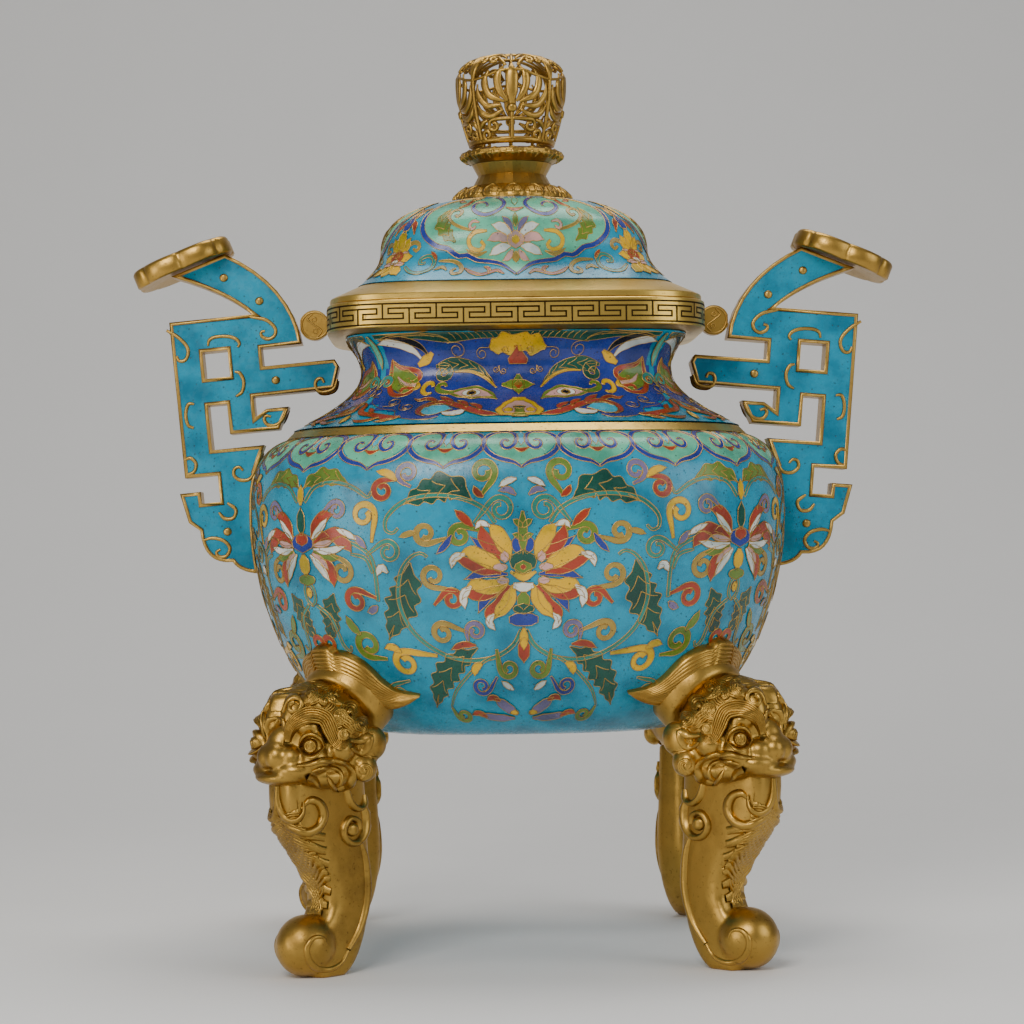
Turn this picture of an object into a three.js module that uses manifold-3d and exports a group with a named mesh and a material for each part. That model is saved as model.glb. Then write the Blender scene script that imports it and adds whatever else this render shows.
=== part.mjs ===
// Covered incense burner in cloisonne enamel and gilt bronze: a square-shouldered
// vessel on four lion-mask legs, two upright fret handles and a domed cover with a
// pierced finial. Millimetres, +Z up, origin on the ground under the middle of the
// vessel, front face towards -Y.
import * as THREE from 'three';
import { mergeVertices } from 'three/addons/utils/BufferGeometryUtils.js';
import Module from 'manifold-3d';

const wasm = await Module();
wasm.setup();

// Clearances between pieces
const seatGap = 0.3; // two pieces that rest on or against each other
const boreGap = 0.3; // a stud all round in its hole
const linerPlay = 4; // the ash liner inside the neck
const coverPlay = 1.5; // the cover's locating flange inside the liner

// Plan outlines are superellipses: 2 is a circle and higher powers are squarer
const bellyPower = 2.8;
const mouthPower = 5;
const crownPower = 2.3;

// Vessel: half widths are measured square to a side
const vesselWall = 3.2;
const rimHalf = 124.4;
const bellyOverhang = 52.4; // belly past the mouth rim
const floorInset = 84.8; // flat floor inside the belly's widest line
const shoulderInset = 46.8; // where the shoulder's curve would close
const neckInset = 22.7; // waist inside the mouth rim
const neckTopInset = 12.4; // neck's upper edge inside the mouth rim
const bellyFloorZ = 147;
const bellyDrop = 143; // widest line down to the floor
const bellyRise = 49.5; // widest line up to the shoulder band
const shoulderCrown = 2; // curve cut off under the shoulder band
const lowerCurvePower = 1.9;
const upperCurvePower = 3;
const bandHeight = 5.4;
const bandDepth = 11;
const bandProud = 1.4; // shoulder band past the enamel
const neckLowerRise = 39;
const neckUpperRise = 21.5;

// Mouth rim
const rimHeight = 19.2;
const rimBevel = 2;
const rimBoreInset = 23; // bore inside the rim's outer face
const rebateInset = 15.9; // liner's seat inside the rim's outer face
const rebateDepth = 6.4;

// Ash liner
const linerWall = 2;
const linerDepth = 134.2;

// Cover
const coverWall = 2.5;
const coverRimInset = 2; // cover's rim inside the mouth rim
const coverRimHeight = 12.9;
const coverRimWidth = 35;
const coverRimEdge = 4; // upright edge under the slope
const domeFootInset = 18.4; // dome's foot inside the cover rim's edge
const domeWaistInset = 34.4; // dome's shoulder inside the cover rim's edge
const domeWaistRise = 25;
const domeCrownRise = 38;
const domeCrownPower = 2.4;
const coverFlangeWall = 3;
const coverFlangeDrop = 12;

// Finial
const smokeBore = 17.5;
const spigotWall = 5;
const finialNutHeight = 6;
const finialNutWidth = 9;
const finialFlangeHalf = 39.5;
const finialFlangeHeight = 10.2;
const finialFlangeStep = 3;
const finialNeckHeight = 15;
const finialNeckHalf = 23;
const finialNeckFlare = 4;
const collarHeight = 9.2;
const collarHalf = 34.5;
const basketHeight = 64.2;
const basketHalf = 36.8;
const basketFootHalf = 27.5;
const basketWall = 2.6;
const basketShoulder = 44.5; // height of the widest line
const basketCrownPower = 2.6;
const basketTopHole = 8;
const basketWindowCount = 8;
const basketWindowHalf = 8;
const basketWindowTall = 18;

// Handles: a slab cut as a fret, leaning outward, in its own frame of across and up
const handleLean = THREE.MathUtils.degToRad(5);
const handleStandoff = 23.2; // frame's middle past the belly's widest line
const handleThickness = 21;
const roundelRise = 12.5; // roundel's middle above the rim's lower edge
const roundelAboveFrame = 61; // the same over the handle frame's middle
const roundelDepth = 9;
const roundelLug = 7;
const postOuter = 26; // outer post's outer edge, out from the frame's middle
const postWidth = 20;
const slotWidth = 13;
const innerPostWidth = 18;
const armTop = 66; // over the frame's middle, as for every level of the fret
const armDepth = 23;
const armSlotDepth = 12.5;
const armSlotEnd = 33.5; // in from the frame's middle, as for every inner place
const tongueDepth = 19.5;
const tongueStandoff = 14; // tongue's tip from the neck's waist
const tongueChamfer = 5;
const windowWidth = 17;
const windowHeight = 18;
const windowRise = 15; // window's lower edge above the tongue's
const swanNeckInner = 61;
const swanNeckWidth = 31;
const swanNeckBendIn = 58;
const swanNeckBendRise = 41;
const swanNeckOuterBend = 17;
const hookReach = 23;
const hookDepth = 14;
const hookLip = 5;
const hookSlant = 8;
const hookBarDepth = 9.5;
const channelDepth = 9.5; // open slot under the hook's bar
const slotTopDrop = 3; // post slot's upper end under the tongue
const shelfIn = 29;
const shelfDepth = 17;
const shelfSlant = 8;
const footOuter = 30.5;
const footInset = 4; // foot's lower corner inside its upper one
const footStep = 10;
const footTall = 20;
const footSlotDepth = 18;
const footSlotInner = 4;
const footSlotWall = 14;
const rootDrop = 72; // root's lower end under the shelf
const rootCuspRise = 13;
const rootCurlOut = 19.5;
const rootCurlRise = 36;
const rootBite = 30; // slab's blank reaches this far past the belly's face before it is cut
const earTilt = THREE.MathUtils.degToRad(-17); // in the handle's frame
const earLength = 69;
const earInset = 12; // ear's middle line starts inside the handle frame's middle
const earUp = 113.5;
const earWidth = 65;
const earThickness = 12.2;
const earLobe = 3;
const earLobes = 8;
const neckTopInner = -2; // slab's neck under the ear, along it
const neckTopOuter = 37;
const earBack = 8; // ear's inner end past the slab's neck
const handleStudRadius = 3;
const handleStudGrip = 13; // in the slab
const handleStudTail = 9; // inside the vessel
const handleStudUpperDrop = 115; // below the roundel
const handleStudSpacing = 40;
const handleNutRadius = 7;
const handleNutHeight = 5;

// Legs: in their own frame, out along the corner's diagonal
const legInset = 9; // lion's skull inside the belly's corner
const skullDepth = 34;
const skullHalf = 37;
const skullTall = 35;
const skullRise = 3; // over the vessel's floor
const muzzleReach = 24;
const muzzleDrop = 13;
const muzzleDepth = 19;
const muzzleHalf = 24;
const napeReach = 20; // nape behind the skull's middle
const napeDrop = 18;
const napeRadius = 25;
const muzzleTall = 17;
const noseReach = 36;
const noseHalf = 9;
const browRise = 11;
const browReach = 13;
const browHalf = 28;
const browTall = 12;
const browDepth = 19;
const earCurlOut = 34;
const earCurlBack = 6;
const earCurlRadius = 11;
const headBottomDrop = 32.5; // jaw line below the middle of the skull
const shankThickness = 30;
const calfSwell = 1;
const backPull = 18;
const calfPull = 20;
const heelPull = 7;
const frontPull = 22;
const instepPull = 0.45;
const shankFront = 32; // top's front edge past the skull's middle
const shankBack = 31; // top's rear edge behind it
const instepBack = 3;
const ballRadius = 19.5;
const ballReach = 11;
const heelBack = 12;
const calfBack = 33;
const crestThickness = 9;
const crestBendRise = 9; // upper edge's bend, over the wing's tip
const crestHollowDrop = 4; // lower edge near the head, under the tip
const crestBellyDrop = 6; // lower edge near the tip, under it
const crestTop = 61; // over the vessel's floor
const crestTipRise = 30;
const crestHalf = 54;
const crestRootRise = 38;
const sleeveRadius = 29;
const sleeveDip = THREE.MathUtils.degToRad(40); // sleeve falls outward
const sleeveEnd = 27; // sleeve's outer face behind the skull's middle
const sleeveDrop = 2; // sleeve's axis below the skull's middle
const legStudRadius = 5;
const legStudGrip = 20; // in the lion's head
const legNutRadius = 10.5;
const legNutHeight = 8;
const legStudTail = 4; // past the nut

// Fineness of the round shapes
const vesselSegments = 64;
const finialSegments = 28;
const studSegments = 10;
const curveSteps = 6;
const sleeveSegments = 16;
const tiny = 1e-4;

// Places worked out from the sizes above
const bellyHalf = rimHalf + bellyOverhang;
const waistHalf = rimHalf - neckInset;
const bellyWidestZ = bellyFloorZ + bellyDrop;
const bellyTopZ = bellyWidestZ + bellyRise;
const neckFootZ = bellyTopZ + bandHeight + 2 * seatGap;
const waistZ = neckFootZ + neckLowerRise;
const neckTopZ = waistZ + neckUpperRise;
const rimZ = neckTopZ + seatGap;
const rimTopZ = rimZ + rimHeight;
const linerFlangeZ = rimTopZ - rebateDepth + seatGap;
const linerHalf = waistHalf - vesselWall - linerPlay;
const linerFloorZ = linerFlangeZ + linerWall - linerDepth;
const coverZ = rimTopZ + seatGap;
const coverRimHalf = rimHalf - coverRimInset;
const coverFlangeHalf = linerHalf - linerWall - coverPlay;
const domeFootZ = coverZ + coverRimHeight + seatGap;
const domeWaistZ = domeFootZ + domeWaistRise;
const domeHole = smokeBore + spigotWall + boreGap;

const gilt = { color: 0xc79a3c, roughness: 0.35, metalness: 0.9 };
const enamel = { color: 0x1f9aa6, roughness: 0.35, metalness: 0.1 };
const copper = { color: 0x9a6a3a, roughness: 0.5, metalness: 0.85 };

// Closed geometry with shared corners and its faces pointing out
function closed(geometry) {
	geometry.deleteAttribute('normal');
	geometry.deleteAttribute('uv');
	const joined = mergeVertices(geometry, tiny);
	const index = joined.index.array;
	const place = joined.attributes.position;
	const corners = [0, 1, 2].map(() => new THREE.Vector3());
	const kept = [];
	let volume = 0;
	for (let i = 0; i < index.length; i += 3) {
		const [a, b, c] = index.slice(i, i + 3);
		if (a === b || b === c || c === a) continue;
		kept.push([a, b, c]);
		[a, b, c].forEach((vertex, n) => corners[n].fromBufferAttribute(place, vertex));
		volume += corners[0].dot(corners[1].cross(corners[2]));
	}
	joined.setIndex(kept.flatMap(([a, b, c]) => (volume > 0 ? [a, b, c] : [a, c, b])));
	return joined;
}

function toSolid(geometry) {
	const shape = closed(geometry);
	const vertProperties = new Float32Array(shape.attributes.position.array);
	const triVerts = new Uint32Array(shape.index.array);
	return new wasm.Manifold(new wasm.Mesh({ numProp: 3, vertProperties, triVerts }));
}

function toGeometry(solid) {
	const mesh = solid.getMesh();
	const geometry = new THREE.BufferGeometry();
	geometry.setAttribute('position', new THREE.BufferAttribute(mesh.vertProperties, 3));
	geometry.setIndex(new THREE.BufferAttribute(mesh.triVerts, 1));
	return geometry;
}

function namedMesh(name, geometry, finish) {
	const mesh = new THREE.Mesh(geometry, new THREE.MeshStandardMaterial({ ...finish, flatShading: true }));
	mesh.name = name;
	return mesh;
}

// How far a superellipse of half width 1 lies from the middle in one direction
function planReach(angle, power) {
	const side = Math.abs(Math.cos(angle)) ** power + Math.abs(Math.sin(angle)) ** power;
	return side ** (-1 / power);
}

// A profile of [half width, height] points turned round +Z and squared to the plan
function turned(profile, power, segments = vesselSegments) {
	const powerAt = typeof power === 'function' ? power : () => power;
	const points = profile.map(([half, z]) => new THREE.Vector2(half, z));
	const geometry = new THREE.LatheGeometry(points, segments);
	geometry.rotateX(Math.PI / 2);
	const place = geometry.attributes.position;
	for (let i = 0; i < place.count; i += 1) {
		const [x, y, z] = [place.getX(i), place.getY(i), place.getZ(i)];
		const reach = planReach(Math.atan2(y, x), powerAt(z));
		place.setXY(i, x * reach, y * reach);
	}
	return closed(geometry);
}

function ring(section, power, segments) {
	return turned([...section, section[0]], power, segments);
}

// The profile moved sideways: a positive distance moves it out of the metal
function offset(profile, distance) {
	return profile.map((point, i) => {
		const [ax, az] = profile[Math.max(i - 1, 0)];
		const [bx, bz] = profile[Math.min(i + 1, profile.length - 1)];
		const length = Math.hypot(bx - ax, bz - az);
		const half = point[0] + (distance * (bz - az)) / length;
		return [Math.max(half, 0), point[1] - (distance * (bx - ax)) / length];
	});
}

// An end point slid along its stretch of the profile to one height
function slidTo(end, next, z) {
	return [THREE.MathUtils.mapLinear(z, end[1], next[1], end[0], next[0]), z];
}

// The inner face of a wall whose upper edge, and lower edge if it is open, are flat
function innerFace(profile, wall) {
	const inner = offset(profile, -wall);
	const last = profile.length - 1;
	inner[last] = slidTo(inner[last], inner[last - 1], profile[last][1]);
	if (profile[0][0] > 0) inner[0] = slidTo(inner[0], inner[1], profile[0][1]);
	return inner.reverse();
}

function shell(profile, wall, power) {
	const outline = [...profile, ...innerFace(profile, wall)];
	return profile[0][0] === 0 ? turned(outline, power) : ring(outline, power);
}

function steps(count) {
	return Array.from({ length: count + 1 }, (_, i) => i / count);
}

// A quarter of a superellipse, from the side at 0 to the top at 1
function quarter(t, power) {
	const angle = (t * Math.PI) / 2;
	return [Math.cos(angle) ** (2 / power), Math.sin(angle) ** (2 / power)];
}

function bellyProfile() {
	const lower = steps(9).map((t) => {
		const [out, down] = quarter(1 - t, lowerCurvePower);
		return [bellyHalf - floorInset * (1 - out), bellyWidestZ - bellyDrop * down];
	});
	const crownRise = bellyRise + shoulderCrown;
	const end = (Math.asin((bellyRise / crownRise) ** (upperCurvePower / 2)) * 2) / Math.PI;
	const upper = steps(4).slice(1).map((t) => {
		const [out, up] = quarter(t * end, upperCurvePower);
		return [bellyHalf - shoulderInset * (1 - out), bellyWidestZ + crownRise * up];
	});
	return [[0, bellyFloorZ], ...lower, ...upper];
}

const belly = bellyProfile();
const shoulderHalf = belly[belly.length - 1][0];
const neckFootHalf = shoulderHalf - bandHeight;

// The space the belly fills with a gap round it, for cutting what seats on it
function bellyBlock(gap) {
	const outline = offset(belly, gap);
	outline.push([0, bellyTopZ]);
	return toSolid(turned(outline, bellyPower));
}

function neckPower(z) {
	return THREE.MathUtils.mapLinear(z, neckFootZ, neckTopZ, bellyPower, mouthPower);
}

function neckProfile() {
	const lower = steps(5).map((t) => {
		const half = waistHalf + (neckFootHalf - waistHalf) * (1 - t) ** 2;
		return [half, neckFootZ + neckLowerRise * t];
	});
	const upper = steps(2).slice(1).map((t) => {
		const half = waistHalf + (neckInset - neckTopInset) * t ** 2;
		return [half, waistZ + neckUpperRise * t];
	});
	return [...lower, ...upper];
}

function rod(radius, length, segments = studSegments) {
	const geometry = new THREE.CylinderGeometry(radius, radius, length, segments);
	geometry.rotateZ(-Math.PI / 2);
	return closed(geometry);
}

// A rod from one point to another in an upright plane that runs out from the axis
function rodBetween(radius, from, to, segments) {
	const [run, rise] = [to[0] - from[0], to[1] - from[1]];
	const geometry = rod(radius, Math.hypot(run, rise), segments);
	geometry.rotateY(-Math.atan2(rise, run));
	geometry.translate((from[0] + to[0]) / 2, 0, (from[1] + to[1]) / 2);
	return geometry;
}

function nutBetween(radius, bore, from, to) {
	const blank = toSolid(rodBetween(radius, from, to, 6));
	const [run, rise] = [to[0] - from[0], to[1] - from[1]];
	const hole = toSolid(rodBetween(bore, [from[0] - run, from[1] - rise], [to[0] + run, to[1] + rise]));
	return toGeometry(blank.subtract(hole));
}

function turnedSolid(geometry, angle) {
	return toSolid(geometry.clone().rotateZ(angle));
}

// Where the leg's sleeve and stud lie in the leg's frame
const diagonal = Math.PI / 4;
const cornerReach = bellyHalf * planReach(diagonal, bellyPower);
const skullOut = cornerReach - legInset;
const skullZ = bellyFloorZ + skullRise;
const sleeveAlong = [-Math.cos(sleeveDip), Math.sin(sleeveDip)];
const sleeveFace = [skullOut + sleeveAlong[0] * sleeveEnd, skullZ - sleeveDrop + sleeveAlong[1] * sleeveEnd];

function alongSleeve(distance) {
	return [sleeveFace[0] + sleeveAlong[0] * distance, sleeveFace[1] + sleeveAlong[1] * distance];
}

// Distance along the sleeve's axis, inward from its outer face, to the vessel's wall
function distanceToWall(inset) {
	const wallFace = offset(belly, -inset).slice(1);
	const reach = planReach(diagonal, bellyPower);
	for (let i = 1; i < wallFace.length; i += 1) {
		const [a, b] = [wallFace[i - 1], wallFace[i]].map(([half, z]) => [half * reach, z]);
		const [ex, ez] = [b[0] - a[0], b[1] - a[1]];
		const cross = sleeveAlong[0] * ez - sleeveAlong[1] * ex;
		const [px, pz] = [a[0] - sleeveFace[0], a[1] - sleeveFace[1]];
		const along = (px * ez - pz * ex) / cross;
		const part = (px * sleeveAlong[1] - pz * sleeveAlong[0]) / cross;
		if (part >= 0 && part <= 1 && along > 0) return along;
	}
	return 0;
}

const innerWallAlong = distanceToWall(vesselWall);
const legNutAlong = innerWallAlong + legNutRadius / 2;

// Handle frame
const frameX = bellyHalf + handleStandoff;
const roundelZ = rimZ + roundelRise;
const frameZ = roundelZ - roundelAboveFrame;
const studUpperZ = roundelZ - handleStudUpperDrop;
const handleStudHeights = { upper: studUpperZ, lower: studUpperZ - handleStudSpacing };

function fromFrame([across, up]) {
	const [c, s] = [Math.cos(handleLean), Math.sin(handleLean)];
	return [frameX + across * c + up * s, frameZ - across * s + up * c];
}

// Half width of a rising profile at one height
function halfAt(profile, z) {
	const index = profile.findIndex(([, height], i) => i > 1 && height >= z);
	const [lower, upper] = [profile[index - 1], profile[index]];
	return THREE.MathUtils.mapLinear(z, lower[1], upper[1], lower[0], upper[0]);
}

// The outer face of a nut that clears the vessel's sloping wall
function handleNutFace(z) {
	const inside = offset(belly, -vesselWall);
	const ends = [z - handleNutRadius, z + handleNutRadius];
	return Math.min(...ends.map((height) => halfAt(inside, height))) - seatGap;
}

function drilledBelly() {
	let body = toSolid(shell(belly, vesselWall, bellyPower));
	for (const z of Object.values(handleStudHeights)) {
		const reach = frameX;
		body = body.subtract(toSolid(rodBetween(handleStudRadius + boreGap, [-reach, z], [reach, z])));
	}
	for (let corner = 0; corner < 4; corner += 1) {
		const bore = rodBetween(legStudRadius + boreGap, alongSleeve(0), alongSleeve(innerWallAlong * 2));
		body = body.subtract(turnedSolid(bore, diagonal + (corner * Math.PI) / 2));
	}
	return toGeometry(body);
}

function buildVessel() {
	const band = [
		[shoulderHalf + bandProud, bellyTopZ + seatGap],
		[shoulderHalf - bandHeight + bandProud, bellyTopZ + seatGap + bandHeight],
		[shoulderHalf - bandDepth, bellyTopZ + seatGap + bandHeight],
		[shoulderHalf - bandDepth, bellyTopZ + seatGap],
	];
	const rebateZ = rimTopZ - rebateDepth;
	const rim = [
		[rimHalf - neckTopInset + rimBevel, rimZ],
		[rimHalf, rimZ + rimBevel],
		[rimHalf, rimTopZ],
		[rimHalf - rebateInset, rimTopZ],
		[rimHalf - rebateInset, rebateZ],
		[rimHalf - rimBoreInset, rebateZ],
		[rimHalf - rimBoreInset, rimZ],
	];
	const vessel = new THREE.Group();
	vessel.add(namedMesh('belly_shell', drilledBelly(), enamel));
	vessel.add(namedMesh('shoulder_band', ring(band, bellyPower), gilt));
	vessel.add(namedMesh('neck_shell', shell(neckProfile(), vesselWall, neckPower), enamel));
	vessel.add(namedMesh('mouth_rim', ring(rim, mouthPower), gilt));
	return vessel;
}

function buildLiner() {
	const cornerCut = linerHalf / 4;
	const flangeHalf = rimHalf - rebateInset - seatGap;
	const flangeTop = linerFlangeZ + linerWall;
	const outline = [
		[0, linerFloorZ],
		[linerHalf - cornerCut, linerFloorZ],
		[linerHalf, linerFloorZ + cornerCut],
		[linerHalf, linerFlangeZ],
		[flangeHalf, linerFlangeZ],
		[flangeHalf, flangeTop],
		[linerHalf - linerWall, flangeTop],
		[linerHalf - linerWall, linerFloorZ + cornerCut + linerWall / 2],
		[linerHalf - cornerCut - linerWall / 2, linerFloorZ + linerWall],
		[0, linerFloorZ + linerWall],
	];
	return namedMesh('ash_liner', turned(outline, mouthPower), copper);
}

function domeProfile() {
	const footHalf = coverRimHalf - domeFootInset;
	const waist = coverRimHalf - domeWaistInset;
	const seatHalf = finialFlangeHalf + 1;
	const lower = steps(4).map((t) => {
		const flare = (footHalf - waist) * (1 - t) ** 2;
		return [waist + flare, domeFootZ + domeWaistRise * t];
	});
	const end = (Math.acos((seatHalf / waist) ** (domeCrownPower / 2)) * 2) / Math.PI;
	const upper = steps(4).slice(1).map((t) => {
		const [out, up] = quarter(t * end, domeCrownPower);
		return [waist * out, domeWaistZ + domeCrownRise * up];
	});
	const seatZ = upper[upper.length - 1][1];
	return [...lower, ...upper, [domeHole, seatZ]];
}

const dome = domeProfile();
const finialSeatZ = dome[dome.length - 1][1] + seatGap;

function domePower(z) {
	return THREE.MathUtils.mapLinear(z, domeFootZ, finialSeatZ, mouthPower, crownPower);
}

// The dome's wall, with an upright round hole at its crown
function domeShell() {
	const inner = offset(dome, -coverWall).reverse();
	const foot = inner.length - 1;
	inner[0][0] = domeHole;
	inner[foot] = slidTo(inner[foot], inner[foot - 1], domeFootZ);
	return ring([...dome, ...inner], domePower);
}

function basketProfile(z) {
	const side = steps(3).map((t) => {
		const [out, up] = quarter(t, 2);
		return [basketFootHalf + (basketHalf - basketFootHalf) * up, z + basketShoulder * (1 - out)];
	});
	const end = (Math.acos(basketTopHole / basketHalf) * 2) / Math.PI;
	const top = steps(3).slice(1).map((t) => {
		const [out, up] = quarter(t * end, basketCrownPower);
		return [basketHalf * out, z + basketShoulder + (basketHeight - basketShoulder) * up];
	});
	return [...side, ...top];
}

function basket(z) {
	const outer = basketProfile(z);
	const inner = offset(outer, -basketWall).reverse();
	const foot = inner.length - 1;
	inner[foot] = slidTo(inner[foot], inner[foot - 1], z);
	let body = toSolid(ring([...outer, ...inner], 2, finialSegments));
	const windowZ = z + basketHeight / 2;
	for (let i = 0; i < basketWindowCount / 2; i += 1) {
		const cutter = rod(1, basketHalf * 3, 6);
		cutter.scale(1, basketWindowHalf, basketWindowTall);
		cutter.rotateZ(((i + 0.5) * 2 * Math.PI) / basketWindowCount);
		cutter.translate(0, 0, windowZ);
		body = body.subtract(toSolid(cutter));
	}
	return toGeometry(body);
}

function buildCover() {
	const rimInner = coverRimHalf - coverRimWidth;
	const footHalf = coverRimHalf - domeFootInset;
	const rimSection = [
		[coverRimHalf, coverZ],
		[coverRimHalf, coverZ + coverRimEdge],
		[footHalf + seatGap, coverZ + coverRimHeight],
		[rimInner, coverZ + coverRimHeight],
		[rimInner, coverZ],
	];
	const flangeTop = coverZ - seatGap;
	const flangeSection = [
		[coverFlangeHalf, flangeTop - coverFlangeDrop],
		[coverFlangeHalf, flangeTop],
		[coverFlangeHalf - coverFlangeWall, flangeTop],
		[coverFlangeHalf - coverFlangeWall, flangeTop - coverFlangeDrop],
	];
	const spigot = smokeBore + spigotWall;
	const nutTop = finialSeatZ - seatGap * 2 - coverWall;
	const nutSection = [
		[spigot + boreGap, nutTop - finialNutHeight],
		[spigot + finialNutWidth, nutTop - finialNutHeight],
		[spigot + finialNutWidth, nutTop],
		[spigot + boreGap, nutTop],
	];
	const flangeTopZ = finialSeatZ + finialFlangeHeight;
	const baseSection = [
		[smokeBore, nutTop - finialNutHeight],
		[spigot, nutTop - finialNutHeight],
		[spigot, finialSeatZ],
		[finialFlangeHalf, finialSeatZ],
		[finialFlangeHalf, finialSeatZ + finialFlangeStep],
		[finialNeckHalf + finialNeckFlare * 2, flangeTopZ],
		[smokeBore, flangeTopZ],
	];
	const neckZ = flangeTopZ + seatGap;
	const neckTop = neckZ + finialNeckHeight;
	const neckSection = [
		[smokeBore, neckZ],
		[finialNeckHalf + finialNeckFlare, neckZ],
		[finialNeckHalf, neckZ + finialNeckHeight / 2],
		[finialNeckHalf + finialNeckFlare, neckTop],
		[smokeBore, neckTop],
	];
	const collarZ = neckTop + seatGap;
	const collarSection = [
		[smokeBore, collarZ],
		[finialNeckHalf + finialNeckFlare, collarZ],
		[collarHalf, collarZ + collarHeight / 2],
		[collarHalf, collarZ + collarHeight * 0.8],
		[basketFootHalf + 1, collarZ + collarHeight],
		[smokeBore, collarZ + collarHeight],
	];
	const basketZ = collarZ + collarHeight + seatGap;
	const cover = new THREE.Group();
	cover.add(namedMesh('cover_dome', domeShell(), enamel));
	cover.add(namedMesh('cover_rim', ring(rimSection, mouthPower), gilt));
	cover.add(namedMesh('cover_locating_flange', ring(flangeSection, mouthPower), copper));
	cover.add(namedMesh('finial_ring_nut', ring(nutSection, 2, finialSegments), copper));
	cover.add(namedMesh('finial_base', ring(baseSection, 2, finialSegments), gilt));
	cover.add(namedMesh('finial_neck', ring(neckSection, 2, finialSegments), gilt));
	cover.add(namedMesh('finial_lotus_collar', ring(collarSection, 2, finialSegments), gilt));
	cover.add(namedMesh('finial_basket', basket(basketZ), gilt));
	return cover;
}

// Levels and columns of the fret in the handle's frame
const slotOuter = postOuter - postWidth;
const slotInner = slotOuter - slotWidth;
const hookIn = slotInner - innerPostWidth;
const armLow = armTop - armDepth;
const tongueUp = armLow - armSlotDepth;
const tongueLow = tongueUp - tongueDepth;
const tongueTip = waistHalf + tongueStandoff - frameX;
const hookLow = tongueLow - hookDepth;
const channelTop = hookLow - hookBarDepth;
const channelLow = channelTop - channelDepth;
const shelfLow = channelLow - shelfDepth;
const rootLow = shelfLow - rootDrop;

// The ear's middle line starts over the slab's neck and falls outward
function onEarUnderside(distance) {
	const drop = earThickness / 2 + seatGap;
	const across = -earInset + Math.cos(earTilt) * distance + Math.sin(earTilt) * drop;
	return [across, earUp + Math.sin(earTilt) * distance - Math.cos(earTilt) * drop];
}

// The neck's inner edge, from the arm up to the ear
function swanNeckEdge() {
	return new THREE.QuadraticBezierCurve(
		new THREE.Vector2(-swanNeckInner, armLow),
		new THREE.Vector2(-swanNeckBendIn, armLow + swanNeckBendRise),
		new THREE.Vector2(...onEarUnderside(neckTopInner)),
	);
}

// The fret's outline in its own frame, from the arm's slot round the foot to the ear
function fretShape() {
	const neckOuter = -swanNeckInner + swanNeckWidth;
	const footLow = shelfLow - footStep - footTall;
	const edge = [
		[-armSlotEnd, armLow],
		[-armSlotEnd, tongueUp],
		[tongueTip + tongueChamfer / 2, tongueUp],
		[tongueTip, tongueUp - tongueChamfer],
		[tongueTip + tongueChamfer, tongueLow],
		[hookIn, tongueLow],
		[hookIn, hookLow],
		[hookIn - hookSlant, hookLow + hookLip],
		[hookIn - hookReach, hookLow + hookLip],
		[hookIn - hookReach + hookSlant, channelTop],
		[slotInner, channelTop],
		[slotInner, tongueLow - slotTopDrop],
		[slotOuter, tongueLow - slotTopDrop],
		[slotOuter, channelLow],
		[-shelfIn, channelLow],
		[-shelfIn + shelfSlant, shelfLow],
		[-handleStandoff - rootBite, shelfLow],
		[-handleStandoff - rootBite, rootLow],
	];
	const neck = swanNeckEdge();
	const shape = new THREE.Shape();
	shape.moveTo(neck.v2.x, neck.v2.y);
	shape.quadraticCurveTo(neck.v1.x, neck.v1.y, neck.v0.x, neck.v0.y);
	edge.forEach(([across, up]) => shape.lineTo(across, up));
	shape.quadraticCurveTo(-footSlotInner * 2, rootLow, 0, rootLow + rootCuspRise);
	shape.quadraticCurveTo(rootCurlOut, rootLow + rootCuspRise, rootCurlOut, rootLow + rootCurlRise);
	shape.lineTo(footOuter - footInset, footLow);
	shape.lineTo(footOuter, shelfLow - footStep);
	shape.lineTo(footOuter - footSlotWall, shelfLow - footStep);
	shape.lineTo(footOuter - footSlotWall, shelfLow - footSlotDepth);
	shape.lineTo(footSlotInner, shelfLow - footSlotDepth);
	shape.lineTo(footSlotInner, shelfLow);
	shape.lineTo(postOuter, shelfLow);
	shape.lineTo(postOuter, armTop);
	shape.lineTo(neckOuter, armTop);
	const bend = [neckOuter + swanNeckOuterBend, armTop + swanNeckOuterBend];
	shape.quadraticCurveTo(...bend, ...onEarUnderside(neckTopOuter));
	shape.closePath();
	const windowInner = slotOuter - windowWidth;
	const windowLow = tongueLow + windowRise;
	const window = new THREE.Path();
	window.moveTo(windowInner, windowLow);
	window.lineTo(windowInner, windowLow + windowHeight);
	window.lineTo(slotOuter, windowLow + windowHeight);
	window.lineTo(slotOuter, windowLow);
	shape.holes.push(window);
	return shape;
}

// A flat shape of across and up made into a plate on the handle's middle plane
function upright(shape, thickness) {
	const geometry = new THREE.ExtrudeGeometry(shape, {
		depth: thickness,
		bevelEnabled: false,
		curveSegments: curveSteps,
	});
	geometry.translate(0, 0, -thickness / 2);
	return geometry.rotateX(Math.PI / 2);
}

function placedInFrame(geometry) {
	return geometry.rotateY(handleLean).translate(frameX, 0, frameZ);
}

function handleSlab() {
	const blank = toSolid(placedInFrame(upright(fretShape(), handleThickness)));
	let slab = blank.subtract(bellyBlock(seatGap));
	for (const z of Object.values(handleStudHeights)) {
		const wall = halfAt(belly, z);
		const bore = rodBetween(handleStudRadius + boreGap, [0, z], [wall + handleStudGrip + boreGap, z]);
		slab = slab.subtract(toSolid(bore));
	}
	return toGeometry(slab);
}

// How far out the slab's neck stands beside the mouth rim, at one height
function swanNeckX(z) {
	const edge = swanNeckEdge().getPoints(curveSteps).map(({ x, y }) => fromFrame([x, y]));
	return halfAt(edge, z);
}

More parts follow.
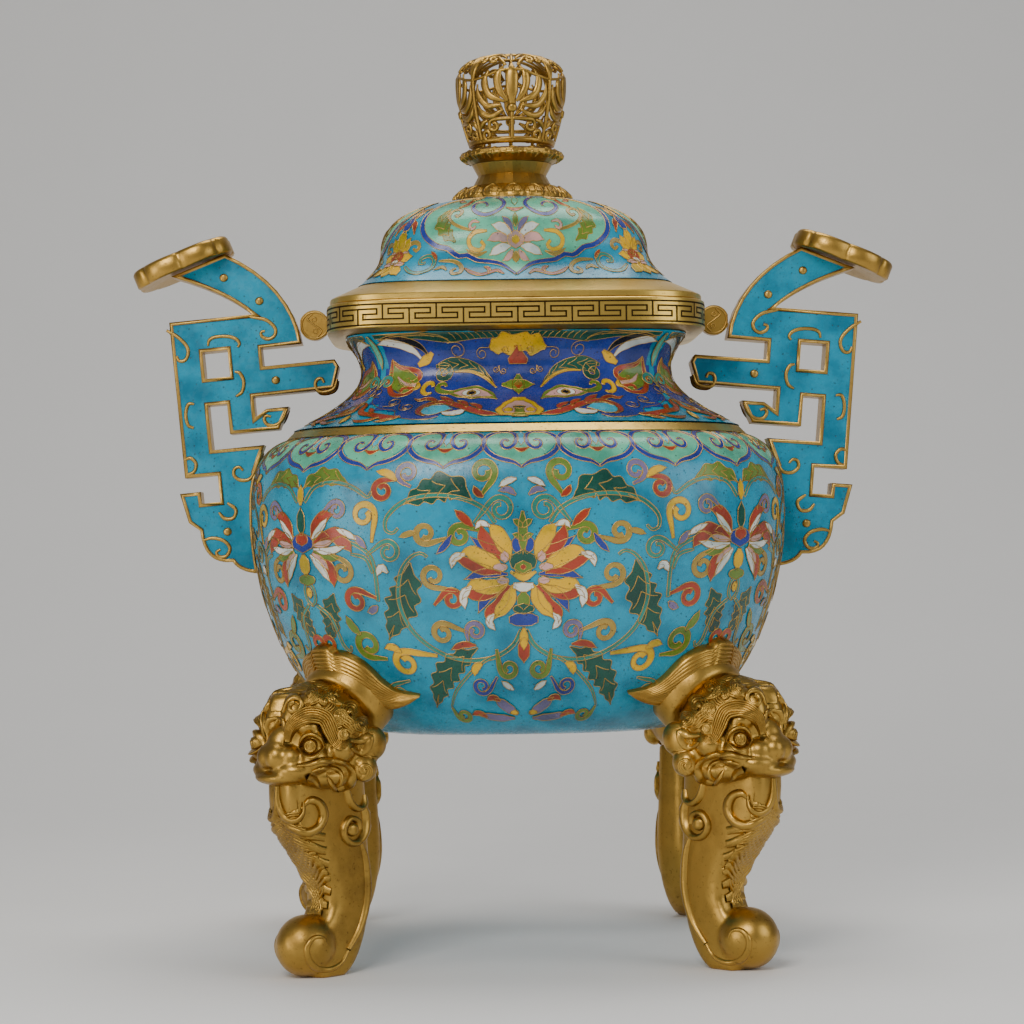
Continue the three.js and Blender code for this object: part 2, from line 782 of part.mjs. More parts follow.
function roundel() {
	const half = roundelLug / 2;
	const inner = rimHalf + seatGap;
	const slope = (swanNeckX(roundelZ + half) - swanNeckX(roundelZ)) / half;
	const squareOn = Math.cos(Math.atan(slope));
	const radius = ((swanNeckX(roundelZ) - inner) * squareOn - seatGap) / (1 + squareOn);
	const centre = inner + radius;
	const lean = Math.asin(half / radius);
	const shape = new THREE.Shape();
	const outer = swanNeckX(roundelZ - half) - seatGap;
	shape.moveTo(outer, roundelZ - half);
	shape.lineTo(outer, roundelZ + half);
	shape.absarc(centre, roundelZ, radius, lean, Math.PI - lean, false);
	shape.lineTo(inner, roundelZ + half);
	shape.lineTo(inner, roundelZ - half);
	shape.absarc(centre, roundelZ, radius, Math.PI + lean, -lean, false);
	return closed(upright(shape, roundelDepth));
}

// A flat cap with a lobed rim, lying along the slope of the ear
function ear() {
	const [halfLength, halfWidth] = [earLength / 2, earWidth / 2];
	const points = earLobes * 5;
	const shape = new THREE.Shape();
	for (let i = 0; i < points; i += 1) {
		const angle = (i / points) * 2 * Math.PI;
		const reach = planReach(angle, 3);
		const scallop = earLobe * (1 - Math.abs(Math.sin((angle * earLobes) / 2)));
		const x = Math.cos(angle) * (halfLength * reach - scallop);
		const y = Math.sin(angle) * (halfWidth * reach - scallop);
		if (i === 0) shape.moveTo(x, y);
		else shape.lineTo(x, y);
	}
	const geometry = new THREE.ExtrudeGeometry(shape, { depth: earThickness, bevelEnabled: false });
	geometry.translate(halfLength - earBack, 0, -earThickness / 2);
	geometry.rotateY(-earTilt);
	geometry.translate(-earInset, 0, earUp);
	return closed(placedInFrame(geometry));
}

function buildHandle(side, turn) {
	const handle = new THREE.Group();
	handle.rotation.z = turn;
	handle.add(namedMesh(`${side}_handle_slab`, handleSlab(), enamel));
	handle.add(namedMesh(`${side}_handle_ear`, ear(), gilt));
	handle.add(namedMesh(`${side}_taiji_roundel`, roundel(), gilt));
	for (const [level, z] of Object.entries(handleStudHeights)) {
		const nutOuter = handleNutFace(z);
		const tip = halfAt(belly, z) + handleStudGrip;
		const stud = rodBetween(handleStudRadius, [nutOuter - handleStudTail, z], [tip, z]);
		const nut = nutBetween(
			handleNutRadius,
			handleStudRadius + boreGap,
			[nutOuter - handleNutHeight, z],
			[nutOuter, z],
		);
		handle.add(namedMesh(`${side}_handle_stud_${level}`, stud, copper));
		handle.add(namedMesh(`${side}_handle_nut_${level}`, nut, copper));
	}
	return handle;
}

function ball(centre, radii, around, down) {
	const geometry = new THREE.SphereGeometry(1, around, down);
	geometry.rotateX(Math.PI / 2);
	geometry.scale(...radii);
	geometry.translate(...centre);
	return toSolid(geometry);
}

// Everything behind the sleeve's outer face, and a gap more
function behindSleeve() {
	const size = skullDepth * 4;
	const geometry = new THREE.BoxGeometry(size, size, size);
	geometry.translate(-size / 2 + seatGap, 0, 0);
	geometry.rotateY(sleeveDip);
	geometry.translate(sleeveFace[0], 0, sleeveFace[1]);
	return toSolid(geometry);
}

function lionMask() {
	let head = ball([skullOut, 0, skullZ], [skullDepth, skullHalf, skullTall], 12, 7);
	const muzzleZ = skullZ - muzzleDrop;
	head = head.add(ball([skullOut + muzzleReach, 0, muzzleZ], [muzzleDepth, muzzleHalf, muzzleTall], 8, 5));
	head = head.add(ball([skullOut + noseReach, 0, muzzleZ], [noseHalf * 0.7, noseHalf, noseHalf * 0.7], 8, 4));
	head = head.add(ball([skullOut + browReach, 0, skullZ + browRise], [browDepth, browHalf, browTall], 8, 5));
	const napeZ = skullZ - napeDrop;
	head = head.add(ball([skullOut - napeReach, 0, napeZ], [napeRadius, skullHalf * 0.8, napeRadius], 10, 6));
	for (const side of [-1, 1]) {
		const centre = [skullOut - earCurlBack, side * earCurlOut, skullZ + earCurlRadius / 2];
		head = head.add(ball(centre, [earCurlRadius, earCurlRadius * 0.8, earCurlRadius], 6, 4));
	}
	const floor = new THREE.BoxGeometry(skullDepth * 4, skullHalf * 4, skullTall * 2);
	floor.translate(skullOut, 0, skullZ - headBottomDrop - skullTall);
	head = head.subtract(toSolid(floor));
	head = head.subtract(turnedSolid(toGeometry(bellyBlock(crestThickness + 2 * seatGap)), diagonal));
	head = head.subtract(behindSleeve());
	const boreEnd = alongSleeve(-legStudGrip - boreGap);
	const bore = rodBetween(legStudRadius + boreGap, alongSleeve(sleeveRadius), boreEnd);
	return toGeometry(head.subtract(toSolid(bore)));
}

function sleeve() {
	const tubeEnd = alongSleeve(innerWallAlong + sleeveRadius);
	const tube = toSolid(rodBetween(sleeveRadius, alongSleeve(0), tubeEnd, sleeveSegments));
	const bore = toSolid(rodBetween(legStudRadius + boreGap, alongSleeve(-5), alongSleeve(innerWallAlong * 2)));
	const vessel = turnedSolid(toGeometry(bellyBlock(seatGap)), diagonal);
	return toGeometry(tube.subtract(vessel).subtract(bore));
}

// Two swept wings of mane that hug the belly's corner above the head
function maneCrest() {
	const top = bellyFloorZ + crestTop;
	const root = bellyFloorZ + crestRootRise;
	const tip = bellyFloorZ + crestTipRise;
	const shape = new THREE.Shape();
	shape.moveTo(0, top);
	const bend = tip + crestBendRise;
	const hollow = tip - crestHollowDrop;
	const under = tip - crestBellyDrop;
	shape.bezierCurveTo(crestHalf * 0.3, top, crestHalf * 0.5, bend, crestHalf, tip);
	shape.bezierCurveTo(crestHalf * 0.7, under, crestHalf * 0.4, hollow, 0, root);
	shape.bezierCurveTo(-crestHalf * 0.4, hollow, -crestHalf * 0.7, under, -crestHalf, tip);
	shape.bezierCurveTo(-crestHalf * 0.5, bend, -crestHalf * 0.3, top, 0, top);
	const reach = cornerReach * 2;
	const geometry = new THREE.ExtrudeGeometry(shape, {
		depth: reach,
		bevelEnabled: false,
		curveSegments: curveSteps,
	});
	geometry.rotateX(Math.PI / 2);
	geometry.rotateZ(Math.PI / 2);
	const outline = toSolid(geometry);
	const outer = turnedSolid(toGeometry(bellyBlock(crestThickness + seatGap)), diagonal);
	const inner = turnedSolid(toGeometry(bellyBlock(seatGap)), diagonal);
	const tubeEnds = [alongSleeve(-sleeveRadius), alongSleeve(innerWallAlong * 2)];
	const tube = toSolid(rodBetween(sleeveRadius + seatGap, ...tubeEnds, sleeveSegments));
	return toGeometry(outline.intersect(outer).subtract(inner).subtract(tube));
}

// Leg under the lion's jaw: a flat-sided S curve that ends in an outward roll
function shank() {
	const top = skullZ - headBottomDrop - seatGap;
	const front = skullOut + shankFront;
	const back = skullOut - shankBack;
	const instep = skullOut - instepBack;
	const ballOut = skullOut + ballReach;
	const start = Math.PI - Math.acos((ballOut - instep) / ballRadius);
	const instepZ = ballRadius + ballRadius * Math.sin(start);
	const heel = skullOut - heelBack;
	const calf = skullOut - calfBack;
	const calfZ = top / 2;
	const shape = new THREE.Shape();
	shape.moveTo(back, top);
	shape.bezierCurveTo(back - calfSwell, top - backPull, calf, calfZ + calfPull, calf, calfZ);
	shape.bezierCurveTo(calf, calfZ - calfPull, heel - heelPull, 0, heel, 0);
	shape.lineTo(ballOut, 0);
	shape.absarc(ballOut, ballRadius, ballRadius, -Math.PI / 2, start, false);
	shape.bezierCurveTo(instep, instepZ + (top - instepZ) * instepPull, front, top - frontPull, front, top);
	return closed(upright(shape, shankThickness));
}

function buildLeg(corner, turn) {
	const leg = new THREE.Group();
	leg.rotation.z = turn;
	const nutInner = legNutAlong + legNutHeight;
	const nutEnds = [alongSleeve(legNutAlong), alongSleeve(nutInner)];
	const nut = nutBetween(legNutRadius, legStudRadius + boreGap, ...nutEnds);
	const stud = rodBetween(legStudRadius, alongSleeve(-legStudGrip), alongSleeve(nutInner + legStudTail));
	leg.add(namedMesh(`${corner}_leg_shank`, shank(), gilt));
	leg.add(namedMesh(`${corner}_lion_mask`, lionMask(), gilt));
	leg.add(namedMesh(`${corner}_mane_crest`, maneCrest(), gilt));
	leg.add(namedMesh(`${corner}_leg_sleeve`, sleeve(), gilt));
	leg.add(namedMesh(`${corner}_leg_stud`, stud, copper));
	leg.add(namedMesh(`${corner}_leg_nut`, nut, copper));
	return leg;
}

const burner = new THREE.Group();
burner.add(buildVessel(), buildLiner(), buildCover());
burner.add(buildHandle('right', 0), buildHandle('left', Math.PI));
const corners = ['back_right', 'back_left', 'front_left', 'front_right'];
corners.forEach((corner, i) => burner.add(buildLeg(corner, diagonal + (i * Math.PI) / 2)));

export default burner;
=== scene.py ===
"""Cloisonne incense burner: enamel, wires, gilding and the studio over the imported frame."""
import logging
import math
from dataclasses import dataclass, field, replace
from enum import Enum
from typing import Callable, Sequence, Union

import bmesh
import bpy
from mathutils import Matrix, Vector
from mathutils.bvhtree import BVHTree


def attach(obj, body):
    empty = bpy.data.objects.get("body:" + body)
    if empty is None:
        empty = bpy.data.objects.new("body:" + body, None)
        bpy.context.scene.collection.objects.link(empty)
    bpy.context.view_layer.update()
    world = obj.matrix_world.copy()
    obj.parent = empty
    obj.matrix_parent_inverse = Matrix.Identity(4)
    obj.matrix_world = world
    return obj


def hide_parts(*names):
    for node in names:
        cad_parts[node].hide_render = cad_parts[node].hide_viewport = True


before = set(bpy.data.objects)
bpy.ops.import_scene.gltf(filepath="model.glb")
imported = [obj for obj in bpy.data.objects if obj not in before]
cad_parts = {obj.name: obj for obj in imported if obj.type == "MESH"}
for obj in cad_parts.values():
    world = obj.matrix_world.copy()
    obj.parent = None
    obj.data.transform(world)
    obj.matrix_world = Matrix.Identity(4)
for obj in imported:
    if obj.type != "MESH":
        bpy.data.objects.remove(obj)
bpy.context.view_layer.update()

log = logging.getLogger("burner")
MM = 0.001
Point = tuple[float, float]
Place = tuple[float, float, float]
Number = Union[float, "Term"]
Fed = Union[float, tuple[float, ...], "Term"]
CURVE_STEPS = 8
PROBE = 0.4
SIDES = 4
CORNERS = ("front_left", "front_right", "back_left", "back_right")


# Shader maths

class Graph:
    """A material's node tree, with one way to add a node."""

    def __init__(self, name: str) -> None:
        """Start an empty tree that ends in a Principled shader.

        Args:
            name: the material's name.
        """
        self.material = bpy.data.materials.new(name)
        self.material.use_nodes = True
        self.tree = self.material.node_tree
        self.tree.nodes.clear()
        self.output = self.tree.nodes.new("ShaderNodeOutputMaterial")
        self.shader = self.tree.nodes.new("ShaderNodeBsdfPrincipled")
        self.tree.links.new(self.shader.outputs["BSDF"], self.output.inputs["Surface"])

    def node(self, kind: str, settings: dict | None = None, inputs: dict | None = None,
             out: int | str = 0) -> "Term":
        """Add a node.

        Args:
            kind: the node's type name.
            settings: attributes, set before the inputs; "stops" fills a colour ramp.
            inputs: values or Terms by socket name or index.
            out: the output that the returned Term holds.

        Returns:
            The chosen output as a Term.
        """
        made = self.tree.nodes.new(kind)
        for key, value in (settings or {}).items():
            if key == "stops":
                self.fill_ramp(made.color_ramp, value)
            else:
                setattr(made, key, value)
        for key, value in (inputs or {}).items():
            self.feed(made.inputs[key], value)
        return Term(self, made.outputs[out])

    @staticmethod
    def fill_ramp(ramp: bpy.types.ColorRamp, stops: Sequence[tuple[float, tuple]]) -> None:
        """Set a ramp's stops.

        Args:
            ramp: the ramp to fill.
            stops: positions with their colours, in order.
        """
        while len(ramp.elements) < len(stops):
            ramp.elements.new(1.0)
        for element, (place, colour) in zip(ramp.elements, stops):
            element.position = place
            element.color = (*colour, 1.0)

    def feed(self, socket: bpy.types.NodeSocket, value: Fed) -> None:
        """Link a Term to a socket, or set a plain value on it.

        Args:
            socket: the input socket.
            value: a Term, a number, or a tuple for a colour or vector.
        """
        if isinstance(value, Term):
            self.tree.links.new(value.socket, socket)
        elif isinstance(value, tuple) and socket.type == "RGBA":
            socket.default_value = (*value[:3], 1.0)
        else:
            socket.default_value = value

    def dress(self, **sockets: Fed) -> bpy.types.Material:
        """Feed the Principled shader's sockets.

        Args:
            sockets: values by socket name, with _ for a space.

        Returns:
            The finished material.
        """
        for key, value in sockets.items():
            self.feed(self.shader.inputs[key.replace("_", " ")], value)
        return self.material

    def place(self) -> "Term":
        """The Object coordinates."""
        return self.node("ShaderNodeTexCoord", out="Object")

    def noise(self, scale: float, detail: float = 4.0, rough: float = 0.55) -> "Term":
        """Noise on Object coordinates: waves for each metre, octaves, and the strength of the finer ones."""
        return self.node("ShaderNodeTexNoise", {}, {
            "Vector": self.place(), "Scale": scale, "Detail": detail, "Roughness": rough})

    def blend(self, amount: "Term", low: Fed, high: Fed) -> "Term":
        """Mix two colours by the share of the second one."""
        return self.node("ShaderNodeMix", {"data_type": "RGBA"}, {0: amount, 6: low, 7: high}, out=2)

    def relief(self, height: "Term", strength: float, reach: float) -> "Term":
        """Bend the normal by a height from 0 to 1, where 1 is reach metres tall."""
        return self.node("ShaderNodeBump", {}, {"Strength": strength, "Distance": reach, "Height": height})


class Term:
    """An output socket that takes part in Python maths."""

    def __init__(self, graph: Graph, socket: bpy.types.NodeSocket) -> None:
        """Hold a socket of a graph."""
        self.graph = graph
        self.socket = socket

    def math(self, operation: str, *others: Number) -> "Term":
        """Add a Math node on this value, with its further operands."""
        values = {0: self, **{i + 1: v for i, v in enumerate(others)}}
        return self.graph.node("ShaderNodeMath", {"operation": operation}, values)

    def __add__(self, other: Number) -> "Term":
        """Sum."""
        return self.math("ADD", other)

    def __sub__(self, other: Number) -> "Term":
        """Difference."""
        return self.math("SUBTRACT", other)

    def __mul__(self, other: Number) -> "Term":
        """Product."""
        return self.math("MULTIPLY", other)

    def __rsub__(self, other: Number) -> "Term":
        """A number minus this value."""
        return self.math("MULTIPLY", -1.0).math("ADD", other)

    __radd__ = __add__

    def step(self, low: float, high: float) -> "Term":
        """Rise smoothly from 0 at low to 1 at high."""
        return self.graph.node("ShaderNodeMapRange", {"interpolation_type": "SMOOTHSTEP"}, {
            "Value": self, "From Min": low, "From Max": high})


# Finishes

Colour = tuple[float, float, float]


def from_hex(code: str) -> Colour:
    """Turn six hex digits into a colour in linear light."""
    parts = [int(code[i:i + 2], 16) / 255 for i in (0, 2, 4)]
    return tuple(p / 12.92 if p <= 0.04045 else ((p + 0.055) / 1.055) ** 2.4 for p in parts)


class Tint(Enum):
    """The enamel colours."""

    TURQUOISE = "1092b2"
    SKY = "2fb3cf"
    MINT = "5fbb97"
    CELADON = "2b8577"
    COBALT = "23388f"
    RED = "a33a22"
    YELLOW = "dfae0c"
    OCHRE = "a3873c"
    OLIVE = "66802a"
    PINE = "0f4f40"
    WHITE = "e2e2da"
    PINK = "cf9f98"
    LILAC = "73698f"
    NIGHT = "14161c"


@dataclass(frozen=True)
class Enamel:
    """Fired enamel: mottled glass with tiny black pits, ground flush and polished."""

    name: str
    ground: Tint = Tint.TURQUOISE
    tinted: bool = False
    pit_size: float = 0.20
    fine_pits: float = 520.0
    rare_pits: float = 210.0
    pale_cast: Colour = (0.20, 0.36, 0.38)
    deep_cast: Colour = (0.26, 0.42, 0.46)
    pit_colour: Colour = (0.012, 0.012, 0.014)
    shine: float = 0.38
    coat: float = 0.18
    coat_rough: float = 0.14

    def make(self) -> bpy.types.Material:
        """Build the material.

        Returns:
            The enamel material.
        """
        g = Graph(self.name)
        colour = from_hex(self.ground.value)
        if self.tinted:
            colour = g.node("ShaderNodeAttribute", {"attribute_name": "tint"}, out="Color")
        pale = g.node("ShaderNodeMix", {"data_type": "RGBA", "blend_type": "SCREEN"}, {
            0: g.noise(60, 3).step(0.5, 0.85) * 0.08, 6: colour, 7: self.pale_cast}, out=2)
        deep = g.node("ShaderNodeMix", {"data_type": "RGBA", "blend_type": "MULTIPLY"}, {
            0: g.noise(38, 4).step(0.38, 0.70) * 0.8, 6: pale, 7: self.deep_cast}, out=2)
        cell = g.node("ShaderNodeTexVoronoi", {}, {"Vector": g.place(), "Scale": self.fine_pits,
                                                   "Randomness": 1.0})
        rare = g.node("ShaderNodeTexVoronoi", {}, {"Vector": g.place(), "Scale": self.rare_pits,
                                                   "Randomness": 1.0})
        dots = 1.0 - cell.step(self.pit_size * 0.6, self.pit_size)
        holes = 1.0 - rare.step(0.10, 0.15)
        crowd = g.noise(30, 3).step(0.45, 0.62)
        pits = (dots * crowd + holes * 0.8).math("MINIMUM", 1.0)
        worn = g.noise(240, 5).step(0.35, 0.7)
        return g.dress(
            Base_Color=g.blend(pits * 0.85, deep, self.pit_colour),
            Roughness=worn * 0.16 + 0.2 + pits * 0.3,
            Specular_IOR_Level=self.shine,
            Coat_Weight=self.coat,
            Coat_Roughness=self.coat_rough,
            Normal=g.relief(g.noise(120, 4) * 0.6 - pits, 0.35, 0.0004))


@dataclass(frozen=True)
class Gilt:
    """Fire-gilt bronze: warm gold that has worn brown, with a hammered and brushed skin."""

    name: str
    gold: Colour = (0.80, 0.50, 0.13)
    brown: Colour = (0.20, 0.10, 0.03)
    wear: float = 0.5
    rough: float = 0.30

    def make(self) -> bpy.types.Material:
        """Build the material.

        Returns:
            The gilt material.
        """
        g = Graph(self.name)
        patch = g.noise(28, 8, 0.65).step(0.62 - self.wear * 0.2, 0.74)
        speck = g.noise(420, 4).step(0.58, 0.72) * 0.45
        skin = g.noise(900, 3)
        worn = (patch * 0.55 + speck).math("MINIMUM", 1.0)
        warm = g.blend(g.noise(11, 3).step(0.35, 0.65), self.gold, tuple(c * 0.82 for c in self.gold))
        return g.dress(
            Base_Color=g.blend(worn, warm, self.brown),
            Metallic=1.0,
            Roughness=self.rough + worn * 0.22 + skin * 0.08,
            Normal=g.relief(g.noise(160, 5) + skin * 0.3, 0.30, 0.0005))


@dataclass(frozen=True)
class Plain:
    """A plain stage finish with a faint texture."""

    name: str
    colour: Colour
    rough: float = 0.6

    def make(self) -> bpy.types.Material:
        """Build the material.

        Returns:
            The plain material.
        """
        g = Graph(self.name)
        shade = g.blend(g.noise(6, 3), self.colour, tuple(c * 0.96 for c in self.colour))
        return g.dress(Base_Color=shade, Roughness=self.rough)


# Flat drawing: strokes and fields in millimetres on a wall

def smooth_path(points: Sequence[Point], count: int) -> list[Vector]:
    """Run a Catmull-Rom curve through points.

    Args:
        points: the points, in order.
        count: how many points come back.

    Returns:
        Evenly spaced points along the curve.
    """
    knots = [Vector(p) for p in points]
    if len(knots) == 2:
        return [knots[0].lerp(knots[1], i / (count - 1)) for i in range(count)]
    ends = [knots[0] * 2 - knots[1], *knots, knots[-1] * 2 - knots[-2]]
    fine: list[Vector] = []
    for a, b, c, d in zip(ends, ends[1:], ends[2:], ends[3:]):
        for step in range(CURVE_STEPS):
            t = step / CURVE_STEPS
            fine.append(0.5 * (b * 2 + (c - a) * t + (a * 2 - b * 5 + c * 4 - d) * t ** 2
                               + (b * 3 - a - c * 3 + d) * t ** 3))
    fine.append(knots[-1])
    lengths = [0.0]
    for a, b in zip(fine, fine[1:]):
        lengths.append(lengths[-1] + (b - a).length)
    out, index = [], 0
    for i in range(count):
        goal = lengths[-1] * i / (count - 1)
        while index < len(fine) - 2 and lengths[index + 1] < goal:
            index += 1
        span = lengths[index + 1] - lengths[index] or 1.0
        out.append(fine[index].lerp(fine[index + 1], (goal - lengths[index]) / span))
    return out


def curl(start: Point, centre: Point, radius: float, way: int, turns: float = 1.15) -> list[Point]:
    """Lead a line onto a circle and wind it inwards.

    Args:
        start: where the line begins.
        centre: the spiral's centre.
        radius: its outer radius.
        way: 1 winds anticlockwise on the drawing, -1 clockwise.
        turns: how far it winds.

    Returns:
        Points along the line and the spiral.
    """
    s, c = Vector(start), Vector(centre)
    away = s - c
    far = max(away.length, radius * 1.02)
    drawn_in, quickening = 0.62, 1.2
    touch = math.atan2(away.y, away.x) + way * math.acos(radius / far)
    count = max(6, int(turns * 9))
    wound = []
    for i in range(count + 1):
        t = i / count
        angle = touch + way * t * turns * math.tau
        r = radius * (1.0 - drawn_in * t ** quickening)
        wound.append((c.x + r * math.cos(angle), c.y + r * math.sin(angle)))
    first = Vector(wound[0])
    middle = s.lerp(first, 0.5)
    return [start, tuple(middle), *wound] if (first - s).length > radius * 0.8 else [start, *wound]


@dataclass(frozen=True)
class Stroke:
    """A drawn shape with two edges: a stem, curl, petal or leaf."""

    points: Sequence[Point]
    widths: Sequence[float] = ()
    tint: Tint | None = None
    lobes: int = 0
    veins: int = 0
    wired: bool = True

    def width_at(self, t: float) -> float:
        """The width at a share of the length.

        Args:
            t: from 0 to 1.

        Returns:
            The width, in millimetres.
        """
        place = t * (len(self.widths) - 1)
        low = min(int(place), len(self.widths) - 2)
        share = place - low
        share = share * share * (3 - 2 * share)
        width = self.widths[low] * (1 - share) + self.widths[low + 1] * share
        return width * (1 + 0.20 * math.sin(t * math.tau * self.lobes)) if self.lobes else width

    def mirrored(self, middle: float = 0.0) -> "Stroke":
        """The stroke turned over an upright line."""
        return replace(self, points=[(2 * middle - x, y) for x, y in self.points])


def both(strokes: Sequence[Stroke], middle: float = 0.0) -> list[Stroke]:
    """Strokes of a right half, each followed by its mirror image, so that layers stay in order."""
    return [s for stroke in strokes for s in (stroke, stroke.mirrored(middle))]


def lead(tint: Tint, start: Point, centre: Point, radius: float, way: int, width: float = 2.4,
         turns: float = 1.15) -> Stroke:
    """A curl with a stem that swells and thins.

    Args:
        tint: its enamel.
        start: where it begins.
        centre: the spiral's centre.
        radius: the spiral's radius.
        way: 1 or -1, the way it winds.
        width: its fullest width.
        turns: how far it winds.

    Returns:
        The stroke.
    """
    full = width * 1.25
    return Stroke(curl(start, centre, radius, way, turns),
                  (full * 0.5, full, full * 1.1, full * 0.85, full * 0.9), tint)


def petal(tint: Tint, points: Sequence[Point], width: float) -> Stroke:
    """A petal or bud that is thin at both ends."""
    return Stroke(points, (width * 0.3, width, width * 0.95, 0.15), tint)


def leaf(points: Sequence[Point], width: float, tint: Tint = Tint.PINE, lobes: int = 5) -> Stroke:
    """A lobed leaf with gold veins."""
    return Stroke(points, (1.0, width * 0.8, width, width * 0.7, 0.3), tint, lobes, 4)


def stem(points: Sequence[Point], width: float = 2.2) -> Stroke:
    """A stem of even width that thins at its end."""
    return Stroke(points, (width, width, width, width, width * 0.6), Tint.CELADON)


def dot(tint: Tint, centre: Point, width: float, height: float) -> Stroke:
    """A round or oval bead.

    Args:
        tint: its enamel.
        centre: its middle.
        width: its full width.
        height: its full height.

    Returns:
        The stroke.
    """
    x, y = centre
    return Stroke([(x, y - height / 2), (x, y), (x, y + height / 2)],
                  (0.1, width * 0.86, width, width * 0.86, 0.1), tint)


# Walls that a drawing is laid on

class Wall:
    """A wall of the vessel that takes a drawing: x across from its centre, y down from its top edge."""

    def at(self, x: float, y: float, lift: float) -> Vector:
        """The place of a drawn point, in metres.

        Args:
            x: millimetres across.
            y: millimetres down.
            lift: millimetres proud of the wall.

        Returns:
            The point in the frame.
        """
        raise NotImplementedError


def measure(profile: Sequence[Point]) -> list[float]:
    """How far along a profile each of its points lies."""
    stations = [0.0]
    for (h0, z0), (h1, z1) in zip(profile, profile[1:]):
        stations.append(stations[-1] + math.hypot(h1 - h0, z1 - z0))
    return stations


@dataclass
class RoundedSide(Wall):
    """One side of a rounded-square wall that swells along a profile."""

    profile: Sequence[Point]
    power: Callable[[float], float]
    reference_half: float
    reference_power: float
    stations: list[float] = field(init=False)
    angles: list[float] = field(init=False)
    arcs: list[float] = field(init=False)
    grain: int = 64
    seam: float = 2e-5

    def __post_init__(self) -> None:
        """Measure the profile and the plan."""
        self.stations = measure(self.profile)
        self.angles = swept(0.0, math.pi / 4, 61)
        far = [reach(a, self.reference_power) for a in self.angles]
        self.arcs = measure([(r * math.cos(a), r * math.sin(a)) for r, a in zip(far, self.angles)])

    def half_at(self, z: float) -> float:
        """The half-width at a height."""
        return look_up(-z, [-p[1] for p in self.profile], [p[0] for p in self.profile])

    @property
    def corner(self) -> float:
        """Millimetres from the side's centre to its corner."""
        return self.arcs[-1] * self.reference_half

    @property
    def height(self) -> float:
        """Millimetres from the top edge to the bottom edge."""
        return self.stations[-1]

    def bare(self, x: float, y: float) -> Vector:
        """The point on the wall itself.

        Args:
            x: millimetres across.
            y: millimetres down.

        Returns:
            The point, in millimetres.
        """
        y = min(max(y, 0.0), self.height)
        half = look_up(y, self.stations, [p[0] for p in self.profile])
        z = look_up(y, self.stations, [p[1] for p in self.profile])
        share = abs(x) / self.corner
        over = share > 1.0
        angle = look_up((2 - share if over else share) * self.arcs[-1], self.arcs, self.angles)
        if over:
            angle = math.pi / 2 - angle
        angle = math.copysign(angle, x)
        r = half * reach(angle, self.power(z))
        return Vector((r * math.sin(angle), -r * math.cos(angle), z))

    def skin(self, lift: float) -> bmesh.types.BMesh:
        """The wall as one smooth sheet that goes round all four sides.

        Args:
            lift: millimetres proud of the wall.

        Returns:
            The sheet.
        """
        sheet = bmesh.new()
        bmesh.ops.create_grid(sheet, x_segments=self.grain, y_segments=self.grain, size=0.5)
        for vert in sheet.verts:
            vert.co = self.at(vert.co.x * 2 * self.corner, (0.5 - vert.co.y) * self.height, lift)
        face_out(sheet, self, Vector((0.0, self.height / 2)))
        around(sheet, SIDES)
        bmesh.ops.remove_doubles(sheet, verts=sheet.verts, dist=self.seam)
        return sheet

    def at(self, x: float, y: float, lift: float) -> Vector:
        """The place of a drawn point, lifted along the wall's normal."""
        low = min(y, self.height - PROBE)
        here = self.bare(x, y)
        along = self.bare(x + PROBE, low) - self.bare(x - PROBE, low)
        down = self.bare(x, low + PROBE) - self.bare(x, max(low - PROBE, 0.0))
        return (here + down.cross(along).normalized() * lift) * MM


@dataclass
class FlatFace(Wall):
    """A flat face of a handle, in the handle's own leaning frame."""

    origin: Vector
    lean: float
    face: float

    def at(self, x: float, y: float, lift: float) -> Vector:
        """The place of a drawn point: x outwards and y upwards in the leaning frame."""
        c, s = math.cos(self.lean), math.sin(self.lean)
        side = math.copysign(1.0, self.face)
        return Vector((self.origin.x + x * c + y * s, self.face + side * lift,
                       self.origin.z - x * s + y * c)) * MM


@dataclass
class RoundWall(Wall):
    """A round wall about the upright axis: x around, y down its profile."""

    profile: Sequence[Point]
    reference: float
    probe: float = 0.3

    def at(self, x: float, y: float, lift: float) -> Vector:
        """The place of a drawn point."""
        stations = measure(self.profile)
        y = min(max(y, 0.0), stations[-1])
        near, far = max(y - self.probe, 0.0), min(y + self.probe, stations[-1])
        (r0, z0), (r, z), (r1, z1) = ([look_up(place, stations, row) for row in zip(*self.profile)]
                                      for place in (near, y, far))
        out = Vector((z0 - z1, r1 - r0)).normalized()
        angle = x / self.reference
        r, z = r + out.x * lift, z + out.y * lift
        return Vector((r * math.sin(angle), -r * math.cos(angle), z)) * MM


def reach(angle: float, power: float) -> float:
    """How far a rounded square of half-width 1 reaches at an angle."""
    return (abs(math.cos(angle)) ** power + abs(math.sin(angle)) ** power) ** (-1 / power)


def look_up(value: float, keys: Sequence[float], values: Sequence[float]) -> float:
    """Read a table between its rows.

    Args:
        value: where to read.
        keys: rising positions.
        values: the values there.

    Returns:
        The value at that place.
    """
    low, high = 0, len(keys) - 1
    while high - low > 1:
        middle = (low + high) // 2
        low, high = (middle, high) if keys[middle] <= value else (low, middle)
    span = keys[high] - keys[low] or 1.0
    share = min(max((value - keys[low]) / span, 0.0), 1.0)
    return values[low] * (1 - share) + values[high] * share


# Laying a drawing on a wall

